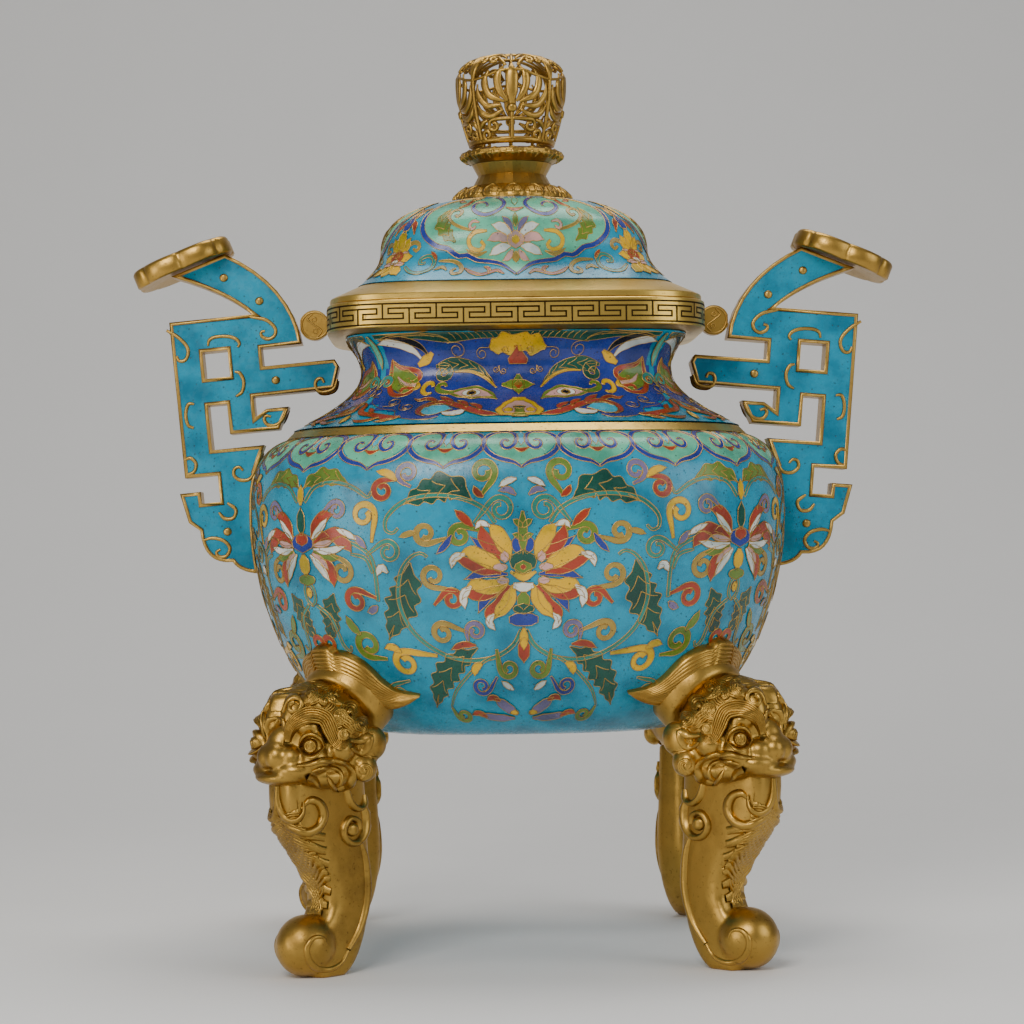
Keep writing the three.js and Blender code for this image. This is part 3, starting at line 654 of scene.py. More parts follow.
@dataclass
class Enameller:
    """Lays strokes on a wall as thin enamel fields and the gold wires round them."""

    wall: Wall
    lift: float = 0.22
    wire: float = 0.62
    rise: float = 0.30
    sunk: float = 0.08
    layer: float = 0.006
    step: float = 1.7
    shortest: float = 0.25
    fewest: int = 8
    most: int = 56
    lobe_steps: int = 7
    narrow: float = 3.0

    def __post_init__(self) -> None:
        """Open the two meshes."""
        self.fields = bmesh.new()
        self.wires = bmesh.new()

    def lay(self, strokes: Sequence[Stroke], start: int = 0) -> None:
        """Lay strokes in order, each a hair above the last.

        Args:
            strokes: the strokes.
            start: how many strokes may lie under the first one.
        """
        for level, stroke in enumerate(strokes, start):
            self.lay_one(stroke, self.lift + self.layer * level)

    def lay_one(self, stroke: Stroke, height: float) -> None:
        """Lay one stroke's field and wires.

        Args:
            stroke: the stroke to lay.
            height: how far its field lies off the wall.
        """
        length = sum((Vector(b) - Vector(a)).length for a, b in zip(stroke.points, stroke.points[1:]))
        count = max(self.fewest, min(self.most, int(length / self.step)))
        if stroke.lobes:
            count = max(count, stroke.lobes * self.lobe_steps)
        path = smooth_path(stroke.points, count + 1)
        ways = [(path[min(i + 1, count)] - path[max(i - 1, 0)]).normalized() for i in range(count + 1)]
        sides = [Vector((-w.y, w.x)) for w in ways]
        halves = [stroke.width_at(i / count) / 2 for i in range(count + 1)] if stroke.widths else []
        if stroke.tint is not None:
            rows = 2 if max(halves) < self.narrow else 4
            self.sheet(path, sides, halves, rows, height, stroke.tint)
            if stroke.wired:
                left = [p + s * h for p, s, h in zip(path, sides, halves)]
                right = [p - s * h for p, s, h in zip(path, sides, halves)]
                self.line(left + right[::-1] + left[:1], height)
            for vein in range(stroke.veins):
                self.vein(path, sides, halves, (vein + 1) / (stroke.veins + 1), height)
        else:
            self.line(path, height)

    def sheet(self, path: Sequence[Vector], sides: Sequence[Vector], halves: Sequence[float], rows: int,
              height: float, tint: Tint) -> None:
        """Lay an enamel field between a stroke's two edges.

        Args:
            path: the middle line.
            sides: the direction across at each point.
            halves: the half-width at each point.
            rows: quads across.
            height: the lift, in millimetres.
            tint: its enamel.
        """
        count = len(path) - 1
        strip = bmesh.new()
        tints = strip.verts.layers.float_color.new("tint")
        bmesh.ops.create_grid(strip, x_segments=count, y_segments=rows, size=0.5)
        colour = (*from_hex(tint.value), 1.0)
        for vert in strip.verts:
            i = round((vert.co.x + 0.5) * count)
            spot = path[i] + sides[i] * halves[i] * vert.co.y * 2
            vert.co = self.wall.at(spot.x, spot.y, height)
            vert[tints] = colour
        face_out(strip, self.wall, path[count // 2])
        join(strip, self.fields)

    def line(self, points: Sequence[Vector], height: float) -> None:
        """Lay a low rounded gold wire along points.

        Args:
            points: the points, close together.
            height: the lift of the field that it edges.
        """
        thin = [points[0]]
        for point in points[1:]:
            if (point - thin[-1]).length > self.shortest:
                thin.append(point)
        if len(thin) < 3:
            return
        closed = (points[0] - points[-1]).length < 1e-6
        count = len(thin) - 1
        strip = bmesh.new()
        bmesh.ops.create_grid(strip, x_segments=count, y_segments=2, size=0.5)
        for vert in strip.verts:
            i = round((vert.co.x + 0.5) * count)
            back, ahead = thin[max(i - 1, 0)], thin[min(i + 1, count)]
            if closed and i in (0, count):
                back, ahead = thin[count - 1], thin[1]
            way = (ahead - back).normalized()
            across = Vector((-way.y, way.x)) * self.wire / 2 * vert.co.y * 2
            spot = thin[i] + across
            top = self.rise if abs(vert.co.y) < 0.25 else -self.sunk
            vert.co = self.wall.at(spot.x, spot.y, height + top)
        face_out(strip, self.wall, thin[count // 2])
        join(strip, self.wires)

    def vein(self, path: Sequence[Vector], sides: Sequence[Vector], halves: Sequence[float], share: float,
             height: float) -> None:
        """Lay a pair of gold veins that leave a leaf's middle rib.

        Args:
            path: the middle line.
            sides: the direction across at each point.
            halves: the half-width at each point.
            share: where they leave, along the leaf.
            height: the field's lift.
        """
        count = len(path) - 1
        low = int(share * count)
        high = min(count, low + max(2, count // 7))
        for sign in (1, -1):
            end = path[high] + sides[high] * halves[high] * 0.78 * sign
            middle = path[low].lerp(end, 0.55) + (path[high] - path[low]) * 0.16
            self.line(smooth_path([path[low], middle, end], 6), height + 0.05)

    def close(self, name: str, body: str, looks: "Finishes") -> None:
        """Repeat the drawing on every side and make its two pieces.

        Args:
            name: the pieces' name.
            body: the body that they ride on.
            looks: the finishes.
        """
        for mesh, suffix, finish in ((self.fields, "enamel", looks.inlay), (self.wires, "wires", looks.gold)):
            around(mesh, SIDES)
            finish_piece(mesh, f"{name}_{suffix}", body, finish)


def face_out(strip: bmesh.types.BMesh, wall: Wall, spot: Vector) -> None:
    """Turn a strip's faces so that they look away from its wall.

    Args:
        strip: the strip.
        wall: the wall under it.
        spot: a drawn point that it covers.
    """
    strip.normal_update()
    out = wall.at(spot.x, spot.y, 1.0) - wall.at(spot.x, spot.y, 0.0)
    if sum((f.normal * f.calc_area() for f in strip.faces), Vector((0, 0, 0))).dot(out) < 0:
        bmesh.ops.reverse_faces(strip, faces=strip.faces)


def join(part: bmesh.types.BMesh, whole: bmesh.types.BMesh) -> None:
    """Add a small mesh to a larger one.

    Args:
        part: the small mesh, which is freed.
        whole: the mesh that takes it.
    """
    scrap = bpy.data.meshes.new("scrap")
    part.to_mesh(scrap)
    part.free()
    whole.from_mesh(scrap)
    bpy.data.meshes.remove(scrap)


def around(mesh: bmesh.types.BMesh, turns: int) -> None:
    """Repeat a mesh evenly round the upright axis.

    Args:
        mesh: the mesh, which gets the copies.
        turns: how many there are in the end.
    """
    whole = mesh.verts[:] + mesh.edges[:] + mesh.faces[:]
    for turn in range(1, turns):
        made = bmesh.ops.duplicate(mesh, geom=whole)
        verts = [e for e in made["geom"] if isinstance(e, bmesh.types.BMVert)]
        bmesh.ops.rotate(mesh, verts=verts, cent=(0, 0, 0),
                         matrix=Matrix.Rotation(math.tau * turn / turns, 3, "Z"))


def finish_piece(mesh: bmesh.types.BMesh, name: str, body: str, finish: bpy.types.Material,
                 replaced: Sequence[str] = (), smooth: bool = True) -> None:
    """Turn a bmesh into a piece that rides on a body.

    Args:
        mesh: the bmesh, which is freed.
        name: the piece's name.
        body: the body that it rides on.
        finish: its material.
        replaced: the CAD nodes that it stands for.
        smooth: whether its faces are shaded smooth.
    """
    data = bpy.data.meshes.new(name)
    for face in mesh.faces:
        face.smooth = smooth
    mesh.to_mesh(data)
    mesh.free()
    piece = bpy.data.objects.new(name, data)
    bpy.context.scene.collection.objects.link(piece)
    data.materials.append(finish)
    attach(piece, body)
    if replaced:
        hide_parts(*replaced)
    log.info("%s: %d faces", name, len(data.polygons))


def ring(mesh: bmesh.types.BMesh, segments: int, radius: float,
         place: Callable[[Vector], Vector]) -> list[bmesh.types.BMEdge]:
    """Add a circle of points and move each one to its place.

    Args:
        mesh: takes the ring.
        segments: how many points it has.
        radius: the circle's radius before the move.
        place: gives a point's place, in metres.

    Returns:
        The ring's edges.
    """
    made = bmesh.ops.create_circle(mesh, cap_ends=False, segments=segments, radius=radius)["verts"]
    for vert in made:
        vert.co = place(vert.co)
    return list(dict.fromkeys(edge for vert in made for edge in vert.link_edges))


def loft(mesh: bmesh.types.BMesh, rings: Sequence[list[bmesh.types.BMEdge]], capped: Sequence[int] = (),
         closed: bool = False) -> None:
    """Bridge rings in order and turn the faces outwards.

    Args:
        mesh: holds the rings.
        rings: their edges, in order.
        capped: which rings are filled, by index.
        closed: whether the last ring meets the first.
    """
    for near, far in zip(rings, [*rings[1:], rings[0]] if closed else rings[1:]):
        bmesh.ops.bridge_loops(mesh, edges=near + far)
    for index in capped:
        bmesh.ops.contextual_create(mesh, geom=rings[index])
    bmesh.ops.recalc_face_normals(mesh, faces=mesh.faces)


# The belly's drawing: x from a side's centre, y down from the shoulder, in the order that the layers lie

def lappet(x: float, y: float) -> list[Stroke]:
    """A cloud-headed lappet that hangs from the shoulder.

    Args:
        x: its middle.
        y: its top.

    Returns:
        Its strokes.
    """
    def put(*points: Point) -> list[Point]:
        """Move points to the lappet's place."""
        return [(x + a, y + b) for a, b in points]

    body = Stroke(put((-24.5, 14.5), (-12, 14.5), (0, 24), (12, 14.5), (24.5, 14.5)),
                  (1, 17, 24, 20, 13, 20, 24, 17, 1), Tint.MINT, wired=False)
    scroll = Stroke(put((0, 32.5), (5, 29.2), (12, 27.4), (18, 24.8), (23, 20), (24.6, 14.3), (23, 8.8),
                        (19, 4), (13.5, 1.4), (8, 1.8), (4.2, 5.5), (3.2, 11.5), (5, 17), (8.8, 19.5),
                        (12.2, 18), (13, 14.2), (10.8, 11.8), (8.6, 13.4)),
                    (1.4, 2.8, 3.0, 3.0, 3.0, 2.9, 2.7, 2.4, 1.6), Tint.COBALT)
    return [body, petal(Tint.SKY, put((0, 2), (0, 10), (0, 17.5)), 5.5), *both([scroll], x),
            Stroke(put((-5, 19), (0, 21), (5, 19)), (0.8, 3.0, 0.8), Tint.RED)]


def great_lotus() -> list[Stroke]:
    """The lotus at the middle of each side."""
    half = [
        petal(Tint.COBALT, [(8, 88.5), (16, 84.5), (25, 81.5), (33, 75.5)], 5.5),
        petal(Tint.COBALT, [(10, 99.5), (24, 98.5), (38, 102.5)], 5.5),
        petal(Tint.COBALT, [(12, 106.5), (24, 114.5), (30, 124.5)], 6),
        petal(Tint.RED, [(10, 90.5), (18, 84.5), (24, 76.5), (26, 67.5)], 8.5),
        petal(Tint.YELLOW, [(8, 89.5), (12, 80.5), (16, 73.5), (22, 67.5)], 9.5),
        petal(Tint.WHITE, [(20, 69.5), (26, 67.5), (29.5, 71.5)], 3.6),
        petal(Tint.RED, [(14, 98.5), (28, 95.5), (40, 89.5), (45, 91.5)], 6.5),
        petal(Tint.YELLOW, [(12, 96.5), (24, 89.5), (34, 85), (40, 87.5)], 9.5),
        petal(Tint.WHITE, [(36, 86.5), (43, 89), (45, 95.5)], 4.6),
        petal(Tint.RED, [(12, 106.5), (26, 112.5), (36, 111.5), (40, 115.5)], 7),
        petal(Tint.YELLOW, [(10, 104.5), (22, 107.5), (32, 105.5), (37, 108.5)], 9),
        petal(Tint.WHITE, [(33, 106.5), (38.5, 112.5), (38, 121.5)], 5.5),
        petal(Tint.RED, [(9, 106.5), (15, 117.5), (23, 124.5), (23, 131.5)], 7.5),
        petal(Tint.YELLOW, [(6, 106.5), (10, 116.5), (17, 124.5), (20, 128.5)], 8.5),
        petal(Tint.WHITE, [(19, 124.5), (23, 129.5), (19, 135.5)], 4.6),
        petal(Tint.COBALT, [(2, 86.5), (4.5, 81.5), (4, 75.5)], 5),
        dot(Tint.PINK, (11.5, 88.5), 5.5, 7.5),
        dot(Tint.PINK, (14.5, 95), 9, 5.5),
        dot(Tint.PINK, (13, 103.5), 7.5, 5),
    ]
    middle = [
        petal(Tint.OLIVE, [(0, 60.5), (0, 72.5), (0, 87.5)], 5.5),
        dot(Tint.PINE, (0, 91.5), 17, 15),
        dot(Tint.OLIVE, (0, 95.5), 11, 9),
        dot(Tint.RED, (0, 95), 3.6, 3.6),
        Stroke([(-8, 98), (0, 101.5), (8, 98)], (1.5, 4.6, 1.5), Tint.YELLOW),
        Stroke([(-6.5, 106.5), (0, 107.7), (6.5, 106.5)], (3.2, 6.4, 3.2), Tint.WHITE),
        petal(Tint.OLIVE, [(0, 110.5), (0, 116.5), (0, 122.5)], 8),
        dot(Tint.PINE, (0, 121.5), 14, 7),
        Stroke([(-9.5, 128.5), (0, 128.5), (9.5, 128.5)], (4, 8, 8.4, 8, 4), Tint.COBALT),
        petal(Tint.RED, [(0, 140.5), (0, 148.5), (0, 158.5)], 8),
        petal(Tint.YELLOW, [(0, 134), (0, 140.5), (0, 149.5)], 5.5),
    ]
    leaves = [petal(Tint.OLIVE, [(0, 70.5), (3, 67.5), (6, 65.5)], 3.6),
              petal(Tint.OLIVE, [(0, 78.5), (3.5, 75.5), (6.5, 74.5)], 3.2)]
    return [*both(half), *both(leaves), *middle]


def scrolls() -> list[Stroke]:
    """Stems, curls, leaves and buds of the right half of a side."""
    return [
        leaf([(31, 53.5), (44, 44.5), (58, 47.5), (74, 55.5)], 17),
        leaf([(71, 91.5), (75, 108.5), (83, 124.5), (93, 141.5)], 20, lobes=6),
        leaf([(32, 147.5), (48, 157.5), (62, 172.5), (73, 193.5)], 17, lobes=7),
        leaf([(110, 42.5), (124, 37), (138, 38.5), (146, 44.5)], 11, Tint.OLIVE, 4),
        leaf([(127, 110.5), (133, 122.5), (136, 132.5), (142, 141.5)], 15),
        stem([(1.5, 135.5), (8, 146.5), (22, 154.5), (42, 156), (60, 149.5), (75, 135.5), (81, 116.5),
              (78, 98.5), (71, 88.5), (64, 85.5), (60, 88)], 2.6),
        stem([(17, 67.5), (24, 58.5), (38, 52), (56, 50), (73, 53.5), (84, 62.5), (85.5, 70.5), (81, 73),
              (77.5, 70)], 2.4),
        stem([(95, 115.5), (94.5, 98.5), (97, 86.5), (107, 79.5), (119, 76.5)], 2.2),
        stem([(96, 97.5), (100, 88.5), (110, 85.5)], 2.0),
        stem([(144, 52.5), (135, 43), (120, 40.5), (106.5, 44.5), (97, 50.5), (94.5, 47)], 2.3),
        stem([(143.5, 118), (134, 126), (131, 137.5), (130, 144.5), (126, 149.5), (123.5, 145.5)], 2.2),
        stem([(147.4, 102.5), (143.5, 107.5), (143.5, 114.5), (147.4, 118.5)], 2.2),
        stem([(24, 154.5), (36, 162.5), (52, 178.5), (60, 192.5)], 1.8),
        lead(Tint.CELADON, (30, 67.5), (13.5, 59), 7.5, -1, 2.4),
        lead(Tint.CELADON, (99, 86.5), (84.5, 84.5), 6.8, -1, 2.2),
        lead(Tint.OLIVE, (26, 51.5), (24, 36), 7.5, 1, 3.0),
        lead(Tint.OLIVE, (27, 72), (39, 75), 6.2, 1, 3.0),
        lead(Tint.LILAC, (69, 44.5), (71.5, 36), 6.5, -1, 2.6),
        lead(Tint.RED, (79, 40), (87, 46.5), 6.3, 1, 2.8),
        lead(Tint.YELLOW, (95, 78.5), (99.5, 61.5), 7.6, 1, 2.8),
        lead(Tint.OCHRE, (47, 76.5), (60.5, 73.5), 6.5, -1, 2.6),
        lead(Tint.OCHRE, (42, 109.5), (57, 100), 7.0, -1, 2.4),
        lead(Tint.RED, (58, 118.5), (46, 115), 6.2, -1, 2.8),
        lead(Tint.RED, (96, 113.5), (110.5, 115), 7.2, 1, 3.0),
        lead(Tint.OCHRE, (38, 136.5), (54.5, 137), 6.8, 1, 2.6),
        lead(Tint.LILAC, (38, 143.5), (32.5, 136), 6.0, -1, 2.6),
        lead(Tint.YELLOW, (61, 152.5), (84.5, 157.5), 8.4, 1, 3.4),
        lead(Tint.OLIVE, (98, 154.5), (109, 144.5), 8.8, -1, 3.4),
        lead(Tint.OCHRE, (126, 84.5), (117.5, 96.5), 7.0, -1, 2.4),
        lead(Tint.OLIVE, (19, 148.5), (11, 162.5), 6.5, 1, 2.8),
        lead(Tint.COBALT, (20, 168.5), (32, 175.5), 6.5, -1, 2.4),
        lead(Tint.LILAC, (130, 60.5), (118.5, 58), 5.6, -1, 2.4),
        lead(Tint.RED, (136, 154.5), (141.5, 144), 5.6, -1, 2.8),
        lead(Tint.OLIVE, (60, 193.5), (52, 201.5), 6.0, 1, 2.6),
        lead(Tint.CELADON, (86, 170.5), (98, 180.5), 7.0, 1, 2.2),
        petal(Tint.YELLOW, [(78, 40.5), (84, 36), (92, 34.5)], 4.4),
        petal(Tint.OCHRE, [(66, 72.5), (71, 73.5), (77, 75.5)], 3.4),
        petal(Tint.COBALT, [(44, 74.5), (48, 80.5), (54, 86.5)], 4),
        petal(Tint.WHITE, [(86, 97.5), (90, 94), (93.5, 99.5)], 4.4),
        petal(Tint.LILAC, [(96, 118.5), (100, 121.5), (104, 122.5)], 4.6),
        petal(Tint.RED, [(33, 145.5), (42, 145), (51, 148.5)], 4.4),
        petal(Tint.YELLOW, [(86, 149.5), (92, 146), (98, 147)], 5),
        petal(Tint.OLIVE, [(113, 137.5), (118, 131.5), (121, 124.5)], 5.4),
        petal(Tint.LILAC, [(99, 82), (103, 77.5), (107, 73.5)], 4.2),
        petal(Tint.WHITE, [(105, 76.5), (112, 72.5), (119.5, 69.5)], 3.8),
        petal(Tint.YELLOW, [(30, 158.5), (35, 161.5), (36.5, 167.5)], 5.4),
        petal(Tint.WHITE, [(8, 178.5), (12, 175.5), (17, 171.5)], 4.2),
        petal(Tint.RED, [(31, 69.5), (36, 64.5), (42, 59)], 5),
        petal(Tint.RED, [(24, 51.5), (28, 48.5), (30, 44.5)], 4),
        petal(Tint.WHITE, [(3.5, 40.5), (9, 42), (14.5, 45.5)], 3.8),
        petal(Tint.LILAC, [(4, 50.5), (9, 47), (15, 48)], 3.8),
        petal(Tint.LILAC, [(5, 200.5), (14, 193.5), (24, 184.5)], 8),
        petal(Tint.RED, [(19, 187.5), (25, 184.5), (30, 187.5)], 4.6),
        petal(Tint.LILAC, [(8, 204.5), (24, 203.5), (40, 199.5)], 7),
        petal(Tint.RED, [(32, 202.5), (39, 198.5), (45, 200.5)], 5),
        dot(Tint.YELLOW, (8, 198.5), 7, 5),
    ]


def corner_lotus(middle: float) -> list[Stroke]:
    """The smaller lotus on each corner.

    Args:
        middle: the corner's place across the side.

    Returns:
        Its strokes, both halves.
    """
    half = [
        petal(Tint.OLIVE, [(138, 78.5), (131, 73.5), (124, 74.5)], 5),
        petal(Tint.OLIVE, [(138, 83.5), (124, 87.5), (117, 87.5)], 5),
        petal(Tint.RED, [(138.5, 75.5), (134, 67.5), (128, 62), (120, 60.5)], 8.5),
        petal(Tint.WHITE, [(139, 76), (132.5, 70.5), (125, 62.5)], 4.6),
        petal(Tint.RED, [(138, 79), (128.5, 75.5), (118.5, 72), (111, 75)], 8),
        petal(Tint.PINK, [(138, 80), (130, 79), (121, 77)], 4.2),
        petal(Tint.RED, [(122, 76.5), (113, 79), (109, 84.5)], 7),
        petal(Tint.WHITE, [(138, 82), (127, 83.5), (112, 80.5)], 4.6),
        petal(Tint.RED, [(133, 88.5), (126, 95.5), (125, 106.5)], 8),
        petal(Tint.PINK, [(139, 84.5), (131.5, 90.5), (127, 95.5)], 4.6),
        petal(Tint.WHITE, [(141, 85.5), (133, 94.5), (127, 103.5)], 5),
    ]
    whole = [
        petal(Tint.PINE, [(middle, 73.5), (middle, 64.5), (middle, 55.5)], 7),
        petal(Tint.YELLOW, [(middle, 54.5), (middle, 48.5), (middle, 41.5)], 5),
        dot(Tint.COBALT, (middle, 78), 20, 13),
        dot(Tint.RED, (middle, 76), 11, 8),
        petal(Tint.YELLOW, [(middle, 85.5), (middle, 92.5), (middle, 99.5)], 9),
        dot(Tint.OLIVE, (middle, 101.5), 15, 7.5),
        petal(Tint.YELLOW, [(middle, 106.5), (middle, 109.5), (middle, 113.5)], 4.5),
    ]
    return [*both(half, middle), *whole]


# The neck's drawing: a beast mask on each side

def face_field() -> list[Stroke]:
    """The mask's blue field, in horizontal bands."""
    bands = [(9, 97), (20, 98), (31, 101), (42, 104), (52, 101), (60.5, 91)]
    rows = [Stroke([(-w, y), (-w / 2, y), (0, y), (w / 2, y), (w, y)], (11.6, 12.6, 12.6, 12.6, 11.6),
                   Tint.COBALT, wired=False)
            for y, w in bands]
    lobes = [
        Stroke([(14, 67), (30, 66.5), (50, 66), (68, 66), (80, 66)], (7, 7, 7, 7, 5), Tint.COBALT,
               wired=False),
        Stroke([(45, 76.5), (54, 75.5), (64, 74), (73, 70.5)], (8, 11.5, 12, 6), Tint.COBALT, wired=False),
        Stroke([(101, 46), (100, 54), (88, 63), (80, 65.5), (75, 67.5), (72, 74), (67, 78.5), (58, 82),
                (49, 82), (45, 78)]),
    ]
    return [*rows, *both(lobes)]


def horn_and_ear() -> list[Stroke]:
    """The right horn and the heart-shaped ear."""
    return [
        petal(Tint.NIGHT, [(66, 17.5), (70, 11), (77, 6.8), (87, 4.6), (97, 4.8)], 5.0),
        petal(Tint.WHITE, [(71.5, 19.5), (75.5, 14), (82.5, 9.8), (91, 7.6), (101, 8.8)], 6.0),
        Stroke([(62.6, 15.8), (68, 20.5), (74, 24)], (2.5, 6.2, 3.0), Tint.YELLOW),
        Stroke([(75, 43), (80, 38), (86, 34), (91, 29), (94, 22)], (11, 16, 17, 12, 3), Tint.OLIVE),
        Stroke([(81.5, 33), (80, 36), (76, 36.4), (72.8, 33.4), (73, 29.4), (77, 27.2), (84, 26), (90, 24),
                (93.6, 19.5)],
               (2.2, 3.2, 3.4, 3.4, 3.4, 3.4, 3.2, 2.6, 0.8), Tint.RED),
        Stroke([(93.6, 20.5), (95.6, 28), (95.3, 35), (92.5, 41.5), (87.5, 46.8), (81.5, 48.4), (76.2, 46.4),
                (75, 42.4), (78.6, 40.6), (82.6, 42), (82, 45)], (1.6, 3.2, 3.6, 3.6, 3.6, 3.4, 3.2, 2.4),
               Tint.RED),
        Stroke([(73.5, 38.8), (79, 38.2), (84.5, 36.5), (89.5, 31.5)], (3.4, 2.8, 3.0, 1.0), Tint.PINK),
        Stroke([(72.4, 36.6), (71, 40.4), (73.8, 43.4)], (1.4, 3.2, 1.2), Tint.YELLOW),
    ]


def eye_and_brow() -> list[Stroke]:
    """The right eye, its brow and the bracket beside it."""
    return [
        Stroke([(16, 41.8), (22, 34), (30, 27.6), (40, 24.2), (50, 24.2), (58, 27)],
               (0.8, 3.2, 6.4, 7.6, 9.6, 8.6), Tint.PINE, veins=6),
        Stroke(curl((61, 25), (55.5, 30), 5.6, -1, 1.1), (2.2, 4.4, 4.4, 3.6, 2.4), Tint.PINE),
        Stroke([(15.4, 42.4), (22.5, 35), (30, 30.6), (38, 28.6), (47, 29)], (1.0, 1.8, 2.0, 1.8, 0.8),
               Tint.YELLOW),
        Stroke([(14, 55), (20, 50), (30, 47.3), (40, 47.3), (47.5, 46.8)], (0.8, 8, 13.4, 9.6, 3),
               Tint.OLIVE),
        Stroke([(44, 46.6), (51, 46.2), (56.3, 43), (56.3, 39), (52.5, 38.2), (51, 40.6)],
               (3.2, 3.9, 4.0, 3.6, 2.8, 1.6), Tint.OLIVE),
        Stroke([(17, 51.6), (24, 48.8), (31, 47.6), (38, 47.6), (44, 47.6)], (0.8, 6, 9.6, 7.2, 1),
               Tint.PINK),
        dot(Tint.WHITE, (32, 47.6), 12.6, 8.4),
        dot(Tint.OCHRE, (31.8, 47.6), 6.4, 6.4),
        dot(Tint.NIGHT, (31.8, 47.6), 4.4, 4.4),
        Stroke([(60.3, 40.6), (61.4, 37.8), (65, 37.5), (66.8, 41), (65.8, 45.5), (62, 48.2), (59.3, 46.6)],
               (2.0, 3.2, 3.3, 3.4, 3.3, 3.0, 1.6), Tint.YELLOW),
    ]


def flames() -> list[Stroke]:
    """The right half of the flaming moustache, its tusk and the flames beyond it."""
    return [
        Stroke([(39.5, 67.5), (46, 67.2), (52, 69), (57.5, 69)], (1, 11, 15, 8), Tint.SKY),
        Stroke([(32.5, 69), (35.6, 73.4), (41, 74.2), (44.8, 71.6)], (3, 7.4, 5.6, 0.6), Tint.WHITE),
        Stroke([(11.5, 77.4), (19, 75), (26, 70.5), (32, 66), (39, 61.6), (47, 58), (54, 59), (58.5, 63),
                (59.6, 68), (57.6, 73), (53, 77)], (2, 6.6, 6.2, 5.6, 5.2, 4.6, 3.8, 3.5, 3.3, 3, 1.2),
               Tint.RED),
        petal(Tint.RED, [(23, 70), (24, 64.5), (27.5, 62), (31, 59.5)], 3.4),
        petal(Tint.RED, [(31.5, 65), (33, 60.5), (36, 58), (39.5, 56.3)], 3.4),
        petal(Tint.RED, [(41, 61), (44, 56.5), (48, 53.6), (52, 51)], 4.0),
        petal(Tint.RED, [(50, 60), (54.5, 55.2), (60, 53.2), (64, 55.2), (69, 52.6)], 3.3),
        Stroke([(67, 77.5), (72, 79.5), (79, 77), (88, 73), (96, 70.5), (100.5, 65.5), (100.8, 59.5),
                (103.5, 56)],
               (2, 7, 6, 5, 4.6, 4, 3.4, 1), Tint.RED),
        petal(Tint.RED, [(90, 72.5), (91, 67.5), (95, 63)], 3.4),
        petal(Tint.RED, [(80, 78), (85, 82), (91, 83.5), (97, 80.5)], 3.6),
        petal(Tint.RED, [(71, 80), (75, 84), (80, 85.6)], 3.0),
        petal(Tint.YELLOW, [(103.8, 85), (103.8, 79), (103.8, 72)], 3.6),
        lead(Tint.CELADON, (103, 42), (110.5, 36), 4.6, 1, 2.2),
        petal(Tint.MINT, [(103.8, 2), (103.8, 12), (103.8, 26)], 4.6),
    ]


def mask() -> list[Stroke]:
    """The beast mask of one side."""
    cloud = (3, 12, 16, 14.5, 9.5, 14.5, 16, 12, 3)
    middle = [
        Stroke([(-20.6, 13), (-13, 10.6), (-5, 8.4), (0, 7), (5, 8.4), (13, 10.6), (20.6, 13)], cloud,
               Tint.YELLOW, lobes=4),
        Stroke([(0, 11), (0, 16), (0, 20), (0, 24)], (5, 5, 9.5, 15, 13), Tint.RED),
        petal(Tint.OLIVE, [(-11.8, 40), (0, 40), (11.8, 40)], 8.5),
        petal(Tint.OLIVE, [(0, 31.5), (0, 40.5), (0, 50)], 8.5),
        Stroke([(0, 35.6), (0, 40), (0, 44.4)], (0.6, 6.4, 0.6), Tint.RED),
        Stroke([(0, 53.6), (0, 61), (0, 70), (0, 78.6)], (8, 21, 28, 22), Tint.YELLOW),
        Stroke([(0, 58), (0, 64), (0, 70), (0, 75.5)], (6, 15.5, 20, 17), Tint.PINK),
        dot(Tint.YELLOW, (6.4, 70.6), 5.2, 7),
        dot(Tint.YELLOW, (-6.4, 70.6), 5.2, 7),
        Stroke([(0, 65), (0, 71), (0, 78), (0, 81)], (6, 5, 6, 9), Tint.OLIVE),
        dot(Tint.PINE, (0, 66.5), 7.5, 4.4),
    ]
    spirals = (((21, 12.6), (26.8, 16.8), 4.2, 1), ((50.6, 8.8), (44.6, 14), 5.8, -1),
               ((15, 25.4), (11, 29), 2.4, 1), ((14, 25), (16.6, 27.8), 2.4, -1),
               ((86, 62), (81, 57), 4.8, 1), ((75, 60), (69, 64), 4.6, 1), ((96, 50), (101, 45), 4.6, -1),
               ((7.2, 17), (9.2, 14), 2.6, -1))
    wires = [Stroke(curl(start, centre, radius, way, 1.3)) for start, centre, radius, way in spirals]
    hair = [Stroke([(x, 6.2), (x + 1.2, 3.4), (x + 3.6, 0.8)]) for x in swept(3.0, 44.0, 10)]
    sweep = [Stroke([(48, 8.4), (54, 4.2), (66, 3.0), (84, 3.4), (98, 6.2)]),
             Stroke([(49, 6.4), (56, 2.4), (66, 1.2)]),
             Stroke([(58, 4), (66, 1.8), (76, 0.9)]),
             Stroke([(68, 3), (78, 1.8), (90, 1.4)])]
    fringe = Stroke([(-99, 3), (-48, 3.2), (-24, 2.8), (0, 2.8), (24, 2.8), (48, 3.2), (99, 3)],
                    (3, 4.4, 10.6, 5.8, 5.4, 5.8, 10.6, 4.4, 3), Tint.PINE)
    return [*face_field(), fringe, *both(hair), *both(sweep), *both(horn_and_ear()), *both(eye_and_brow()),
            *both(flames()), *middle, *both(wires)]


# The lid's drawing: a cloud-shaped panel on each side and a lotus on each corner

